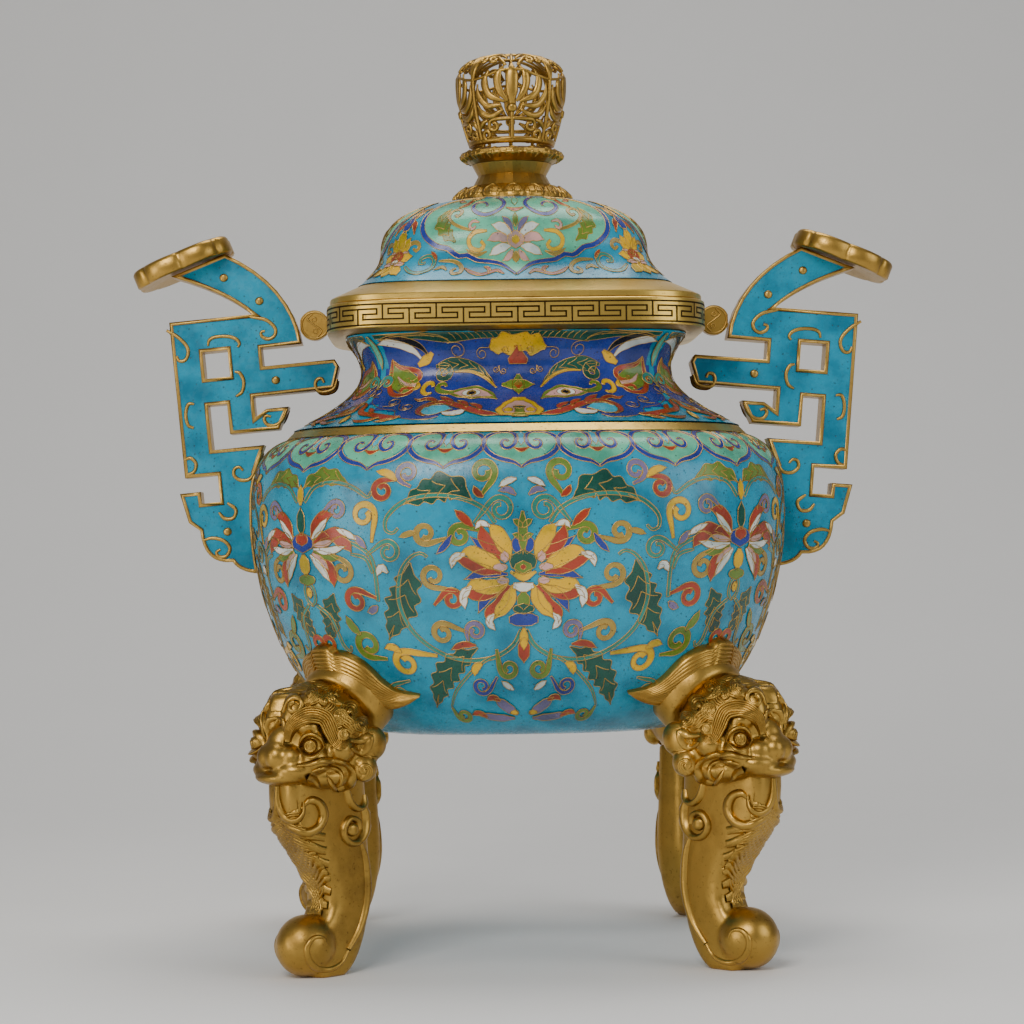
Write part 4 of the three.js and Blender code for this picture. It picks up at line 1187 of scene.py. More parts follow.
def lid_panel() -> list[Stroke]:
    """The mint cloud with its blue edge, and its flower."""
    depths = (17, 22, 29, 36, 44, 52, 59, 63.5, 67, 68.5, 72, 74, 76, 78, 79, 81.5, 87, 90.5)
    spans = (59, 70, 75, 77.5, 77.5, 74.5, 70, 64, 57, 50, 45, 39, 30, 24, 16, 9, 3, 0.6)
    ground = []
    for y in swept(16.4, 89.4, 34):
        across = look_up(y, depths, spans)
        ground.append(Stroke([(-across, y), (0, y), (across, y)], (2.6, 2.6, 2.6), Tint.MINT, wired=False))
    half = [
        Stroke([(0, 91), (4, 86.6), (10.5, 81), (19, 78.7), (28, 77.7), (32.5, 75.3), (37, 73.4), (42, 74.3),
                (47, 71.6), (52, 68.3), (59, 67), (66, 63.3), (71.5, 58.8), (76, 51.8), (78.8, 43.6),
                (79, 36), (76, 29), (72, 23), (64, 17.5), (52, 14.6), (38, 14)],
               (1.6, 3.2, 3.4, 3.4, 3.4, 3.4, 3.4, 3.2), Tint.COBALT),
        Stroke([(22, 15), (16, 19), (11, 26), (10.4, 33), (13.8, 39), (19.4, 43.2), (25.7, 44.6), (32, 42.6),
                (37, 38.2), (38.8, 33.4), (37.6, 28.6), (33.8, 26.8), (29.4, 28), (26.2, 31.4), (26, 34.6)],
               (2.4, 3.6, 3.6, 3.5, 3.5, 3.3, 2.8, 2.0), Tint.COBALT),
        petal(Tint.RED, [(52, 36), (46.4, 31), (46, 23), (50, 19)], 4.8),
        petal(Tint.RED, [(52, 26), (59, 24), (64, 18.6)], 4.0),
        petal(Tint.RED, [(46, 23), (42, 19.5), (38, 19)], 3.0),
        leaf([(46, 64), (54, 57.5), (60.5, 48), (58.5, 37)], 10, Tint.OLIVE, 6),
        Stroke([(34.8, 56.6), (42.5, 54.6), (50.4, 51), (55.4, 45.4), (54.6, 39.8), (49.4, 38.6), (45.6, 42),
                (47.6, 46), (50.4, 44.4)],
               (1.4, 1.8, 1.8, 1.9, 2.2, 2.4, 2.4, 2.0), Tint.OCHRE),
        Stroke([(22, 57.2), (31, 58), (35.8, 62.6), (34, 68.2), (27.8, 70), (24.2, 66.8), (26.6, 63.8)],
               (1.4, 2.6, 2.9, 2.9, 2.9, 2.6, 2.0), Tint.YELLOW),
        Stroke([(28.6, 51.2), (33.6, 50.2), (36, 53.6), (33.4, 56.2), (31, 54)], (1.0, 2.2, 2.2, 2.0, 1.4),
               Tint.PINK),
        # partly painted highlight: the flower and its petals are real, but their white and pale pink partly
        # stand for a gloss highlight that washes over this flower
        petal(Tint.WHITE, [(3, 61), (10, 55), (19, 53)], 6.4),
        petal(Tint.PINK, [(4, 64), (13, 61), (22, 63.6)], 6.0),
        petal(Tint.WHITE, [(4, 67), (12, 69), (20, 74)], 6.4),
        petal(Tint.PINK, [(2.5, 70), (6, 76), (10, 78.4)], 4.6),
        petal(Tint.LILAC, [(2, 58), (6, 51), (11, 46.4)], 4.6),
        petal(Tint.OCHRE, [(22, 71), (30, 73.4), (38, 69)], 2.4),
    ]
    whole = [
        Stroke([(-7.6, 36.8), (0, 39.6), (7.6, 36.8)], (1.2, 4.0, 1.2), Tint.RED),
        petal(Tint.OLIVE, [(0, 43.5), (0, 49), (0, 55)], 4.0),
        # the flower's pink heart, its paleness partly a painted highlight
        dot(Tint.PINK, (0, 63), 13, 12),
        dot(Tint.YELLOW, (0, 63), 6, 6),
        petal(Tint.OCHRE, [(0, 71), (0, 75), (0, 80)], 5.0),
        petal(Tint.MINT, [(0, 15), (0, 24), (0, 34)], 6.0),
    ]
    return [*ground, *both(half), *whole]


def lid_corner(middle: float) -> list[Stroke]:
    """The lotus and curls on a corner of the lid.

    Args:
        middle: the corner's place across the side.

    Returns:
        Its strokes.
    """
    half = [
        lead(Tint.PINK, (84, 34), (90.5, 41), 4.2, 1, 2.4),
        Stroke([(80.6, 58), (84, 51.4), (90, 47.6)], (1.0, 4.0, 3.0), Tint.RED),
        Stroke([(86.4, 66.4), (78.6, 63.4), (74, 65.6), (75.8, 69.4), (79, 67.6)], (1.2, 2.4, 2.6, 2.2, 1.4),
               Tint.OCHRE),
        Stroke([(79, 81.6), (72, 87), (65, 88.2), (59.2, 83.6), (59.6, 77), (64, 73.4), (69.6, 75.4),
                (69, 79.4), (65.4, 79)],
               (1.6, 2.3, 2.5, 2.5, 2.5, 2.5, 2.3, 1.8), Tint.CELADON),
        Stroke([(56, 77.6), (45.6, 78), (39.4, 82), (37.8, 88), (42.4, 90), (44.6, 86.6), (42, 84.6)],
               (1.2, 2.2, 2.5, 2.5, 2.4, 2.0, 1.4), Tint.OCHRE),
        Stroke([(8.4, 90.4), (13, 86.8), (18.6, 89), (24, 91), (30.4, 88.6), (36, 84.4)],
               (1.0, 2.8, 2.6, 2.6, 2.6, 1.0), Tint.RED),
        petal(Tint.RED, [(19, 89), (19, 85), (23, 83.2)], 2.4),
        petal(Tint.RED, [(58, 77), (60.4, 73.4), (64, 70)], 2.4),
        petal(Tint.OCHRE, [(48, 86), (52, 83), (57, 86)], 2.2),
        petal(Tint.YELLOW, [(91, 72), (86.5, 66.5), (82.6, 60)], 7.4),
        petal(Tint.PINK, [(91, 74), (86, 71.4), (82, 69.6)], 4.4),
        petal(Tint.YELLOW, [(91, 77), (84, 74.4), (77.4, 73)], 7.2),
        petal(Tint.PINK, [(91, 79), (86, 79), (81, 79)], 4.4),
        petal(Tint.YELLOW, [(91, 82), (85.4, 84.4), (80, 89.6)], 7.0),
    ]
    whole = [
        petal(Tint.COBALT, [(middle, 44), (middle, 51), (middle, 58)], 8),
        petal(Tint.YELLOW, [(middle, 55), (middle, 62), (middle, 70)], 8.5),
        dot(Tint.RED, (middle, 74), 12, 12),
        dot(Tint.WHITE, (middle, 77.4), 7, 5),
        petal(Tint.YELLOW, [(middle, 79), (middle, 85), (middle, 91)], 8),
    ]
    return [*both(half, middle), *whole]


# Sub-assemblies

@dataclass(frozen=True)
class Finishes:
    """The object's materials, made once."""

    enamel: bpy.types.Material
    inlay: bpy.types.Material
    gold: bpy.types.Material
    relief: bpy.types.Material
    rim: bpy.types.Material
    groove: bpy.types.Material
    copper: bpy.types.Material

    @classmethod
    def make(cls) -> "Finishes":
        """Build every finish."""
        return cls(
            enamel=Enamel("turquoise_enamel").make(),
            inlay=Enamel("inlaid_enamel", tinted=True).make(),
            gold=Gilt("gilt_wire", gold=(0.50, 0.31, 0.08), brown=(0.10, 0.06, 0.02), wear=0.5,
                      rough=0.34).make(),
            relief=Gilt("worn_gilt", gold=(0.50, 0.30, 0.065), brown=(0.12, 0.06, 0.015), wear=0.8,
                        rough=0.30).make(),
            rim=Gilt("bright_gilt", gold=(0.76, 0.50, 0.11), brown=(0.22, 0.12, 0.03), wear=0.4,
                     rough=0.27).make(),
            # painted shade: near-black gilt for the flat fret strips on the mouth rim, standing in for the
            # shadow inside engraved grooves
            groove=Gilt("painted_groove_shade", gold=(0.05, 0.03, 0.01), brown=(0.02, 0.012, 0.006), wear=1.0,
                        rough=0.55).make(),
            copper=Gilt("bare_copper", gold=(0.62, 0.30, 0.16), brown=(0.12, 0.06, 0.04), wear=1.0,
                        rough=0.42).make())


def clothe(names: Sequence[str], finish: bpy.types.Material) -> None:
    """Give CAD nodes a finish in their own slots.

    Args:
        names: the nodes.
        finish: the material.
    """
    for name in names:
        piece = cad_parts[name]
        if not piece.material_slots:
            piece.data.materials.append(finish)
        for held in piece.material_slots:
            held.material = finish
        log.info("%s: %s", name, finish.name)


def swept(start: float, end: float, count: int) -> list[float]:
    """Evenly spaced numbers from start to end."""
    return [start + (end - start) * i / (count - 1) for i in range(count)]


@dataclass(frozen=True)
class Hoop:
    """A ring with a straight-sided section round a rounded-square plan. Sizes in millimetres."""

    node: str
    section: tuple[Point, ...]
    power: float
    chamfer: float = 0.5
    crease: float = 0.3
    segments: int = 256

    def squared(self, spot: Vector, half: float, z: float) -> Vector:
        """A point of the unit circle moved to the rounded square of one half-width and height."""
        far = half * reach(math.atan2(spot.y, spot.x), self.power)
        return Vector((spot.x * far, spot.y * far, z)) * MM

    def build(self, body: str, finish: bpy.types.Material) -> None:
        """Loft the ring, break its edges and let it stand for its node.

        Args:
            body: the body that it rides on.
            finish: its material.
        """
        mesh = bmesh.new()
        rings = [ring(mesh, self.segments, 1.0, lambda spot: self.squared(spot, half, z))
                 for half, z in self.section]
        loft(mesh, rings, closed=True)
        bmesh.ops.bevel(mesh, geom=[edge for edges in rings for edge in edges], offset=self.chamfer * MM,
                        offset_type="OFFSET", segments=1, profile=0.5, affect="EDGES")
        bmesh.ops.recalc_face_normals(mesh, faces=mesh.faces)
        for edge in mesh.edges:
            edge.smooth = edge.calc_face_angle(0.0) < self.crease
        finish_piece(mesh, f"{self.node}_hoop", body, finish, [self.node])


@dataclass
class Vessel:
    """The rounded-square bowl with its neck, rims and shoulder band. Sizes in millimetres."""

    belly_half: float = 176.8
    belly_widest: float = 290.0
    crown_rise: float = 51.5
    crown_cut: float = 49.5
    crown_in: float = 46.8
    belly_drop: float = 143.0
    floor_half: float = 92.0
    waist_half: float = 101.7
    foot_half: float = 148.6
    neck_foot: float = 345.5
    waist_rise: float = 39.0
    neck_rise: float = 21.5
    neck_top_half: float = 112.0
    rim_half: float = 124.4
    rim_low: float = 406.3
    rim_high: float = 425.5
    rim_power: float = 5.0
    belly_power: float = 2.8
    crown_curve: float = 3.0
    low_curve: float = 1.9
    neck_plan_half: float = 120.0
    neck_plan_power: float = 3.6
    band: tuple[Point, ...] = ((154.0, 339.8), (148.6, 345.2), (141.6, 345.2), (141.6, 339.8))
    mouth: tuple[Point, ...] = ((114, 406.3), (124.4, 408.3), (124.4, 425.5), (108.5, 425.5), (108.5, 419.1),
                                (101.4, 419.1), (101.4, 406.3))
    keys: int = 13
    key_reach: float = 0.78
    key_hook: float = 0.22
    key_rows: Place = (5.6, 8.9, 12.2)
    borders: Point = (2.6, 15.6)
    groove: float = 1.1
    lappets: int = 6

    def belly(self) -> RoundedSide:
        """The belly's wall, from the shoulder band down."""
        end = math.asin((self.crown_cut / self.crown_rise) ** (self.crown_curve / 2))
        up, down = 2 / self.crown_curve, 2 / self.low_curve
        crown = [(self.belly_half - self.crown_in * (1 - math.cos(a) ** up),
                  self.belly_widest + self.crown_rise * math.sin(a) ** up)
                 for a in swept(end, 0.0, 60)]
        low = [(self.belly_half - (self.belly_half - self.floor_half) * (1 - math.cos(a) ** down),
                self.belly_widest - self.belly_drop * math.sin(a) ** down)
               for a in swept(0.0, math.pi / 2, 90)[1:]]
        return RoundedSide([*crown, *low], lambda z: self.belly_power, self.belly_half, self.belly_power)

    def neck(self) -> RoundedSide:
        """The neck's wall, from the mouth rim down."""
        flare = [(self.waist_half + (self.neck_top_half - self.waist_half) * t * t,
                  self.neck_foot + self.waist_rise + self.neck_rise * t) for t in swept(1.0, 0.0, 30)]
        foot = [(self.waist_half + (self.foot_half - self.waist_half) * (1 - t) ** 2,
                 self.neck_foot + self.waist_rise * t) for t in swept(1.0, 0.0, 50)[1:]]
        span = self.waist_rise + self.neck_rise
        gain = self.rim_power - self.belly_power
        return RoundedSide([*flare, *foot],
                           lambda z: self.belly_power + (z - self.neck_foot) / span * gain,
                           self.neck_plan_half, self.neck_plan_power)

    def rim(self) -> RoundedSide:
        """The mouth rim's upright face."""
        return RoundedSide([(self.rim_half, self.rim_high), (self.rim_half, self.rim_low)],
                           lambda z: self.rim_power, self.rim_half, self.rim_power)

    def fret(self, flip: bool) -> Enameller:
        """Lay the key fret and its border lines on one side of the mouth rim as thin dark strips, painted
        shade that stands in for the shadow inside the grooves.

        Args:
            flip: whether the keys hang from the lower border first.

        Returns:
            The strips of painted groove shade on that side.
        """
        wall = self.rim()
        work = Enameller(wall, lift=0.16)
        pitch = wall.corner * 2 / self.keys
        long, short = self.key_reach * pitch, self.key_hook * pitch
        top, middle, bottom = self.key_rows
        hanging = {top: (self.borders[1], bottom), bottom: (self.borders[0], top)}
        lines = [[(-wall.corner, y), (wall.corner, y)] for y in self.borders]
        for i in range(self.keys):
            x = (i - self.keys // 2) * pitch
            near = bottom if (i % 2 == 0) == flip else top
            border, far = hanging[near]
            lines += [[(x, border), (x, near)], [(x - long, near), (x + long, near)],
                      [(x + long, near), (x + long, middle)], [(x + long, middle), (x + short, middle)],
                      [(x + short, middle), (x + short, far)]]
        for (x0, y0), (x1, y1) in lines:
            over = self.groove / 2 / max(abs(x1 - x0), abs(y1 - y0))
            ends = [(x0 + (x1 - x0) * t, y0 + (y1 - y0) * t) for t in (-over, 1 + over)]
            # painted shade: each groove is a flat dark strip laid over the rim, not a cut, and its darkness
            # stands for the groove's shadow
            work.lay([Stroke(ends, (self.groove, self.groove), Tint.NIGHT, wired=False)])
        return work

    def engrave(self, groove: bpy.types.Material) -> None:
        """Join the fret's painted groove shade of two neighbouring sides and repeat it opposite.

        Args:
            groove: the finish, a near-black painted shade for the grooves.
        """
        first, second = self.fret(False).fields, self.fret(True).fields
        bmesh.ops.rotate(second, verts=second.verts, cent=(0, 0, 0),
                         matrix=Matrix.Rotation(math.pi / 2, 3, "Z"))
        join(second, first)
        around(first, 2)
        finish_piece(first, "mouth_rim_fret_shade", "vessel", groove)

    def build(self, looks: Finishes) -> None:
        """Dress the bowl and lay its drawings.

        Args:
            looks: the finishes.
        """
        clothe(["belly_shell", "neck_shell"], looks.enamel)
        Hoop("shoulder_band", self.band, self.belly_power).build("vessel", looks.rim)
        Hoop("mouth_rim", self.mouth, self.rim_power).build("vessel", looks.rim)
        clothe(["ash_liner"], looks.copper)
        belly = Enameller(self.belly(), lift=0.3)
        finish_piece(belly.wall.skin(0.12), "belly_ground", "vessel", looks.enamel)
        corner = belly.wall.corner
        belly.lay(both(scrolls()))
        for lotus in (corner_lotus(corner), great_lotus()):
            belly.lay(lotus, 60)
        for i in range(self.lappets):
            belly.lay(lappet(corner * (i - 2) / 3, 0.6))
        belly.close("belly", "vessel", looks)
        neck = Enameller(self.neck(), lift=0.72, wire=0.55)
        finish_piece(neck.wall.skin(0.5), "neck_ground", "vessel", looks.enamel)
        neck.lay(mask())
        neck.close("neck", "vessel", looks)
        self.engrave(looks.groove)


@dataclass
class Lid:
    """The lid with its dome, rim and pierced finial. Sizes in millimetres."""

    foot_half: float = 104.0
    foot_z: float = 439.0
    waist_half: float = 88.0
    waist_rise: float = 25.0
    dome_rise: float = 38.0
    top_half: float = 40.5
    dome_power: float = 2.4
    foot_power: float = 5.0
    power_fall: float = 2.7
    power_rise: float = 61.0
    plan_power: float = 4.0
    rim: tuple[Point, ...] = ((122.4, 425.8), (122.4, 429.8), (104.3, 438.7), (87.4, 438.7), (87.4, 425.8))

    def dome(self) -> RoundedSide:
        """The dome's wall, from its top hole down."""
        end = math.acos((self.top_half / self.waist_half) ** (self.dome_power / 2))
        crown = [(self.waist_half * math.cos(a) ** (2 / self.dome_power),
                  self.foot_z + self.waist_rise + self.dome_rise * math.sin(a) ** (2 / self.dome_power))
                 for a in swept(end, 0.0, 50)]
        foot = [(self.waist_half + (self.foot_half - self.waist_half) * (1 - t) ** 2,
                 self.foot_z + self.waist_rise * t)
                for t in swept(1.0, 0.0, 40)[1:]]
        return RoundedSide([*crown, *foot],
                           lambda z: self.foot_power - (z - self.foot_z) / self.power_rise * self.power_fall,
                           self.foot_half, self.plan_power)

    def build(self, looks: Finishes) -> None:
        """Dress the lid and lay its drawings.

        Args:
            looks: the finishes.
        """
        clothe(["cover_dome"], looks.enamel)
        Hoop("cover_rim", self.rim, self.foot_power).build("cover", looks.rim)
        clothe(["cover_locating_flange", "finial_ring_nut"], looks.copper)
        dome = Enameller(self.dome(), lift=0.62, wire=0.55)
        finish_piece(dome.wall.skin(0.4), "cover_ground", "cover", looks.enamel)
        dome.lay(lid_panel())
        dome.lay(lid_corner(dome.wall.corner), 20)
        dome.close("cover", "cover", looks)


# Chased metal

@dataclass
class Chaser:
    """Raises ridges, beads and bundles of fine ridges on a wall."""

    wall: Wall
    mesh: bmesh.types.BMesh = field(default_factory=bmesh.new)
    step: float = 1.4

    def ridge(self, points: Sequence[Point], widths: Sequence[float], height: float, base: float = -0.15,
              columns: int = 6) -> None:
        """Raise a rounded ridge.

        Args:
            points: its middle line.
            widths: widths along it.
            height: its height where it is widest.
            base: the lift of its foot.
            columns: faces across.
        """
        length = sum((Vector(b) - Vector(a)).length for a, b in zip(points, points[1:]))
        count = max(8, min(64, int(length / self.step)))
        path = smooth_path(points, count + 1)
        form = Stroke(points, widths)
        halves = [form.width_at(i / count) / 2 for i in range(count + 1)]
        widest = max(halves)
        strip = bmesh.new()
        bmesh.ops.create_grid(strip, x_segments=count, y_segments=columns, size=0.5)
        for vert in strip.verts:
            i = round((vert.co.x + 0.5) * count)
            way = (path[min(i + 1, count)] - path[max(i - 1, 0)]).normalized()
            angle = (vert.co.y + 0.5) * math.pi
            spot = path[i] - Vector((-way.y, way.x)) * halves[i] * math.cos(angle)
            lift = base + height * math.sin(angle) * min(1.0, halves[i] / widest * 1.2)
            vert.co = self.wall.at(spot.x, spot.y, lift)
        face_out(strip, self.wall, path[count // 2])
        join(strip, self.mesh)

    def bead(self, centre: Point, radius: float, height: float, base: float = -0.15) -> None:
        """Raise a round bead.

        Args:
            centre: its middle.
            radius: its radius.
            height: its height.
            base: the lift of its foot.
        """
        x, y = centre
        widths = [2 * radius * math.sqrt(max(0.0, 1 - (2 * t - 1) ** 2)) + 0.02 for t in swept(0.0, 1.0, 11)]
        self.ridge([(x, y - radius), (x, y), (x, y + radius)], widths, height, base, 8)

    def bundle(self, points: Sequence[Point], number: int, pitch: float, height: float, base: float = -0.1,
               ends: float = 0.35) -> None:
        """Raise a lock of parallel fine ridges.

        Args:
            points: the lock's middle line.
            number: how many ridges.
            pitch: their spacing at the lock's middle.
            height: each ridge's height.
            base: the lift of their feet.
            ends: the spacing at both ends, as a share of the pitch.
        """
        path = smooth_path(points, 12)
        for k in range(number):
            side = (k - (number - 1) / 2) * pitch
            line = []
            for i, spot in enumerate(path):
                way = (path[min(i + 1, 11)] - path[max(i - 1, 0)]).normalized()
                swell = ends + (1 - ends) * math.sin(math.pi * i / 11)
                line.append(tuple(spot + Vector((-way.y, way.x)) * side * swell))
            self.ridge(line, (pitch * 0.5, pitch * 1.05, pitch * 1.05, pitch * 0.4), height, base, 4)


@dataclass(frozen=True)
class Lump:
    """An oval lump of a sculpted form: centre and radii in a leg's frame, in millimetres."""

    out: float
    side: float
    up: float
    long: float
    wide: float
    high: float

    def add(self, mesh: bmesh.types.BMesh) -> None:
        """Add the lump, and its twin where it sits to one side."""
        for side in {self.side, -self.side}:
            place = Matrix.Translation(Vector((self.out, side, self.up)) * MM)
            bmesh.ops.create_icosphere(mesh, subdivisions=4, radius=1.0,
                                       matrix=place @ Matrix.Diagonal((self.long * MM, self.wide * MM,
                                                                       self.high * MM, 1)))


def cast(mesh: bmesh.types.BMesh, voxel: float) -> bmesh.types.BMesh:
    """Fuse overlapping lumps into one skin and smooth it twice.

    Args:
        mesh: the lumps, which are freed.
        voxel: the remesh's grain, in millimetres.

    Returns:
        The fused mesh.
    """
    data = bpy.data.meshes.new("lumps")
    mesh.to_mesh(data)
    mesh.free()
    piece = bpy.data.objects.new("lumps", data)
    bpy.context.scene.collection.objects.link(piece)
    grain = piece.modifiers.new("grain", "REMESH")
    grain.mode = "VOXEL"
    grain.voxel_size = voxel * MM
    skin = bmesh.new()
    fused = piece.evaluated_get(bpy.context.evaluated_depsgraph_get()).to_mesh()
    skin.from_mesh(fused)
    bpy.data.objects.remove(piece)
    bpy.data.meshes.remove(data)
    for _ in range(2):
        bmesh.ops.smooth_vert(skin, verts=skin.verts, factor=0.5, use_axis_x=True, use_axis_y=True,
                              use_axis_z=True)
    return skin


@dataclass
class SkullWall(Wall):
    """The lion's head seen from between its front and its side: x right, y up, from the skull's middle."""

    skin: BVHTree
    middle: Vector
    hand: float = 1.0

    def at(self, x: float, y: float, lift: float) -> Vector:
        """The place on the head under a drawn point, lifted away from the skull's middle."""
        view = Vector((math.sqrt(0.5), self.hand * math.sqrt(0.5), 0))
        flat = self.middle + Vector((-x * math.sqrt(0.5), self.hand * x * math.sqrt(0.5), y)) * MM
        hit = self.skin.ray_cast(flat + view * 0.1, -view)[0]
        spot = hit or self.skin.find_nearest(flat)[0]
        return spot + (spot - self.middle).normalized() * lift * MM


@dataclass
class ShankWall(Wall):
    """The shank's rounded skin: x is out minus across, as seen from the side, and y is the height."""

    shank: "Leg"
    hand: float = 1.0

    def at(self, x: float, y: float, lift: float) -> Vector:
        """The place on the near side of the shank."""
        front, back = self.shank.edges(y)
        low, high = -math.pi / 4, math.pi * 0.78
        for _ in range(18):
            middle = (low + high) / 2
            out, side = self.shank.spot(front, back, middle)
            low, high = (middle, high) if out - side > x else (low, middle)
        out, side = self.shank.spot(front + lift, back - lift, low, lift)
        return Vector((out, self.hand * side, y)) * MM


@dataclass
class SkinSide(Wall):
    """A finished skin beside a leg: x out and y up, as seen from the side."""

    skin: BVHTree
    hand: float

    def at(self, x: float, y: float, lift: float) -> Vector:
        """The place on the near side of the skin."""
        spot, normal, _, _ = self.skin.ray_cast(Vector((x, self.hand * 80, y)) * MM,
                                                Vector((0, -self.hand, 0)))
        if spot is None:
            spot, normal, _, _ = self.skin.find_nearest(Vector((x, self.hand * 8, y)) * MM)
        return spot + normal * lift * MM


@dataclass
class Leg:
    """A lion-headed leg, built once on the outward axis and repeated at the corners. Sizes in millimetres."""

    top: float = 124.0
    front: float = 218.2
    back: float = 153.0
    ball_out: float = 197.2
    ball_radius: float = 19.5
    heel: float = 174.2
    half_width: float = 15.0
    skull_out: float = 186.2
    skull_up: float = 150.0
    sleeve_radius: float = 29.0
    sleeve_lip: float = 3.0
    sleeve_dip: float = math.radians(40)
    sleeve_end: float = 27.0
    sleeve_drop: float = 2.0
    section_power: float = 4.4

    def edges(self, z: float) -> Point:
        """The shank's front and back at a height.

        Args:
            z: the height.

        Returns:
            How far out the front and the back are.
        """
        front = look_up(z, (0, 30, 37, 45, 55, 65, 75, 85, 95, 105, 114, self.top),
                        (197, 195, 189, 185.5, 186.5, 191, 199, 207, 213.5, 217, self.front, self.front))
        back = look_up(z, (0, 3, 8, 15, 24, 36, 50, 60, 75, 90, 105, self.top),
                       (self.heel, 169, 164, 159.5, 155.5, 152.3, 150.6, 150.4, 151, 151.5, 152, self.back))
        return front, back

    def spot(self, front: float, back: float, angle: float, grown: float = 0.0) -> Point:
        """A point of the shank's rounded section.

        Args:
            front: how far out its front is.
            back: how far out its back is.
            angle: round the section from the front.
            grown: how much wider the section is.

        Returns:
            How far out and how far across.
        """
        c, s = math.cos(angle), math.sin(angle)
        half = (front - back) / 2
        power = 2 / self.section_power
        return ((front + back) / 2 + math.copysign(abs(c) ** power, c) * half,
                math.copysign(abs(s) ** power, s) * (self.half_width + grown))

    def round_at(self, spot: Vector, z: float) -> Vector:
        """A point of the unit circle moved to the shank's section at a height."""
        return Vector((*self.spot(*self.edges(z), math.atan2(spot.y, spot.x)), z)) * MM

    def shank(self) -> bmesh.types.BMesh:
        """Loft the shank and fuse it with its rolled foot.

        Returns:
            The fused mesh on the outward axis.
        """
        body = bmesh.new()
        rings = [ring(body, 48, 1.0, lambda spot: self.round_at(spot, z)) for z in swept(0.0, self.top, 40)]
        loft(body, rings, capped=(0, -1))
        Lump(self.ball_out, 0, self.ball_radius + 0.2, self.ball_radius, 18.0, self.ball_radius).add(body)
        Lump(self.ball_out - 1, 6, self.ball_radius + 0.2, 16.5, 12.5, 16.5).add(body)
        Lump(self.ball_out - 8, 0, 7.4, 22, 15, 7.2).add(body)
        skin = cast(body, 1.5)
        for vert in skin.verts:
            vert.co.z = max(vert.co.z, 0.0)
        return skin

    def head(self) -> bmesh.types.BMesh:
        """Model the lion's head from lumps.

        Returns:
            The fused mesh on the outward axis.
        """
        clay = bmesh.new()
        lumps = [
            Lump(185, 0, 151, 32, 34, 33), Lump(178, 0, 140, 26, 33, 22), Lump(207, 7.5, 160, 12, 9, 17),
            Lump(199, 13, 171, 11, 9, 9), Lump(208, 17, 158, 8, 9, 6), Lump(211, 0, 146, 13, 10, 14),
            Lump(215, 0, 141, 14, 12, 10), Lump(215, 9.5, 138.5, 9, 9, 8.5),
            Lump(221.5, 3.5, 139.5, 8, 7.5, 8.5), Lump(210, 9, 131, 16, 15, 8),
            Lump(213, 0, 126.5, 17, 19, 5.5), Lump(206, 22, 138, 10, 9, 9), Lump(192, 31, 143, 9, 7, 8),
            Lump(186, 0, 126, 28, 28, 10), Lump(174, 32, 131, 9, 7, 9), Lump(168, 33, 146, 11, 6, 11),
            Lump(205, 20, 149, 9, 9, 9),
        ]
        for lump in lumps:
            lump.add(clay)
        return cast(clay, 1.3)

    def sleeve(self, belly: RoundedSide) -> bmesh.types.BMesh:
        """Turn the smooth sleeve that joins the head to the belly's corner.

        Args:
            belly: the wall that it runs into.

        Returns:
            The sleeve on the outward axis.
        """
        dip = self.sleeve_dip
        inward = Vector((-math.cos(dip), 0, math.sin(dip)))
        face = Vector((self.skull_out, 0, self.skull_up - self.sleeve_drop)) + inward * self.sleeve_end
        tube = bmesh.new()

        def place(flat: Vector) -> Vector:
            """A point of the sleeve's circle, slid inwards by its ring's depth or as far as the belly."""
            spot = face + Vector((flat.x * math.sin(dip), flat.y, flat.x * math.cos(dip)))
            return (spot + inward * (self.to_belly(belly, spot, inward) if depth is None else depth)) * MM

        rings = []
        for radius, depth in ((self.sleeve_radius - self.sleeve_lip, 0.0),
                              (self.sleeve_radius, self.sleeve_lip), (self.sleeve_radius, None)):
            rings.append(ring(tube, 64, radius, place))
        loft(tube, rings, capped=(0,))
        return tube

    @staticmethod
    def to_belly(belly: RoundedSide, spot: Vector, way: Vector) -> float:
        """How far a point slides until it is just inside the belly.

        Args:
            belly: the belly's wall.
            spot: the point in the leg's frame.
            way: the direction of the slide.

        Returns:
            The distance, in millimetres.
        """
        power = belly.reference_power
        for slide in swept(0.0, 90.0, 361):
            place = spot + way * slide
            half = belly.half_at(place.z)
            across = ((place.x - place.y) / math.sqrt(2), (place.x + place.y) / math.sqrt(2))
            if sum(abs(v) ** power for v in across) ** (1 / power) < half - 0.8:
                return slide
        return 90.0

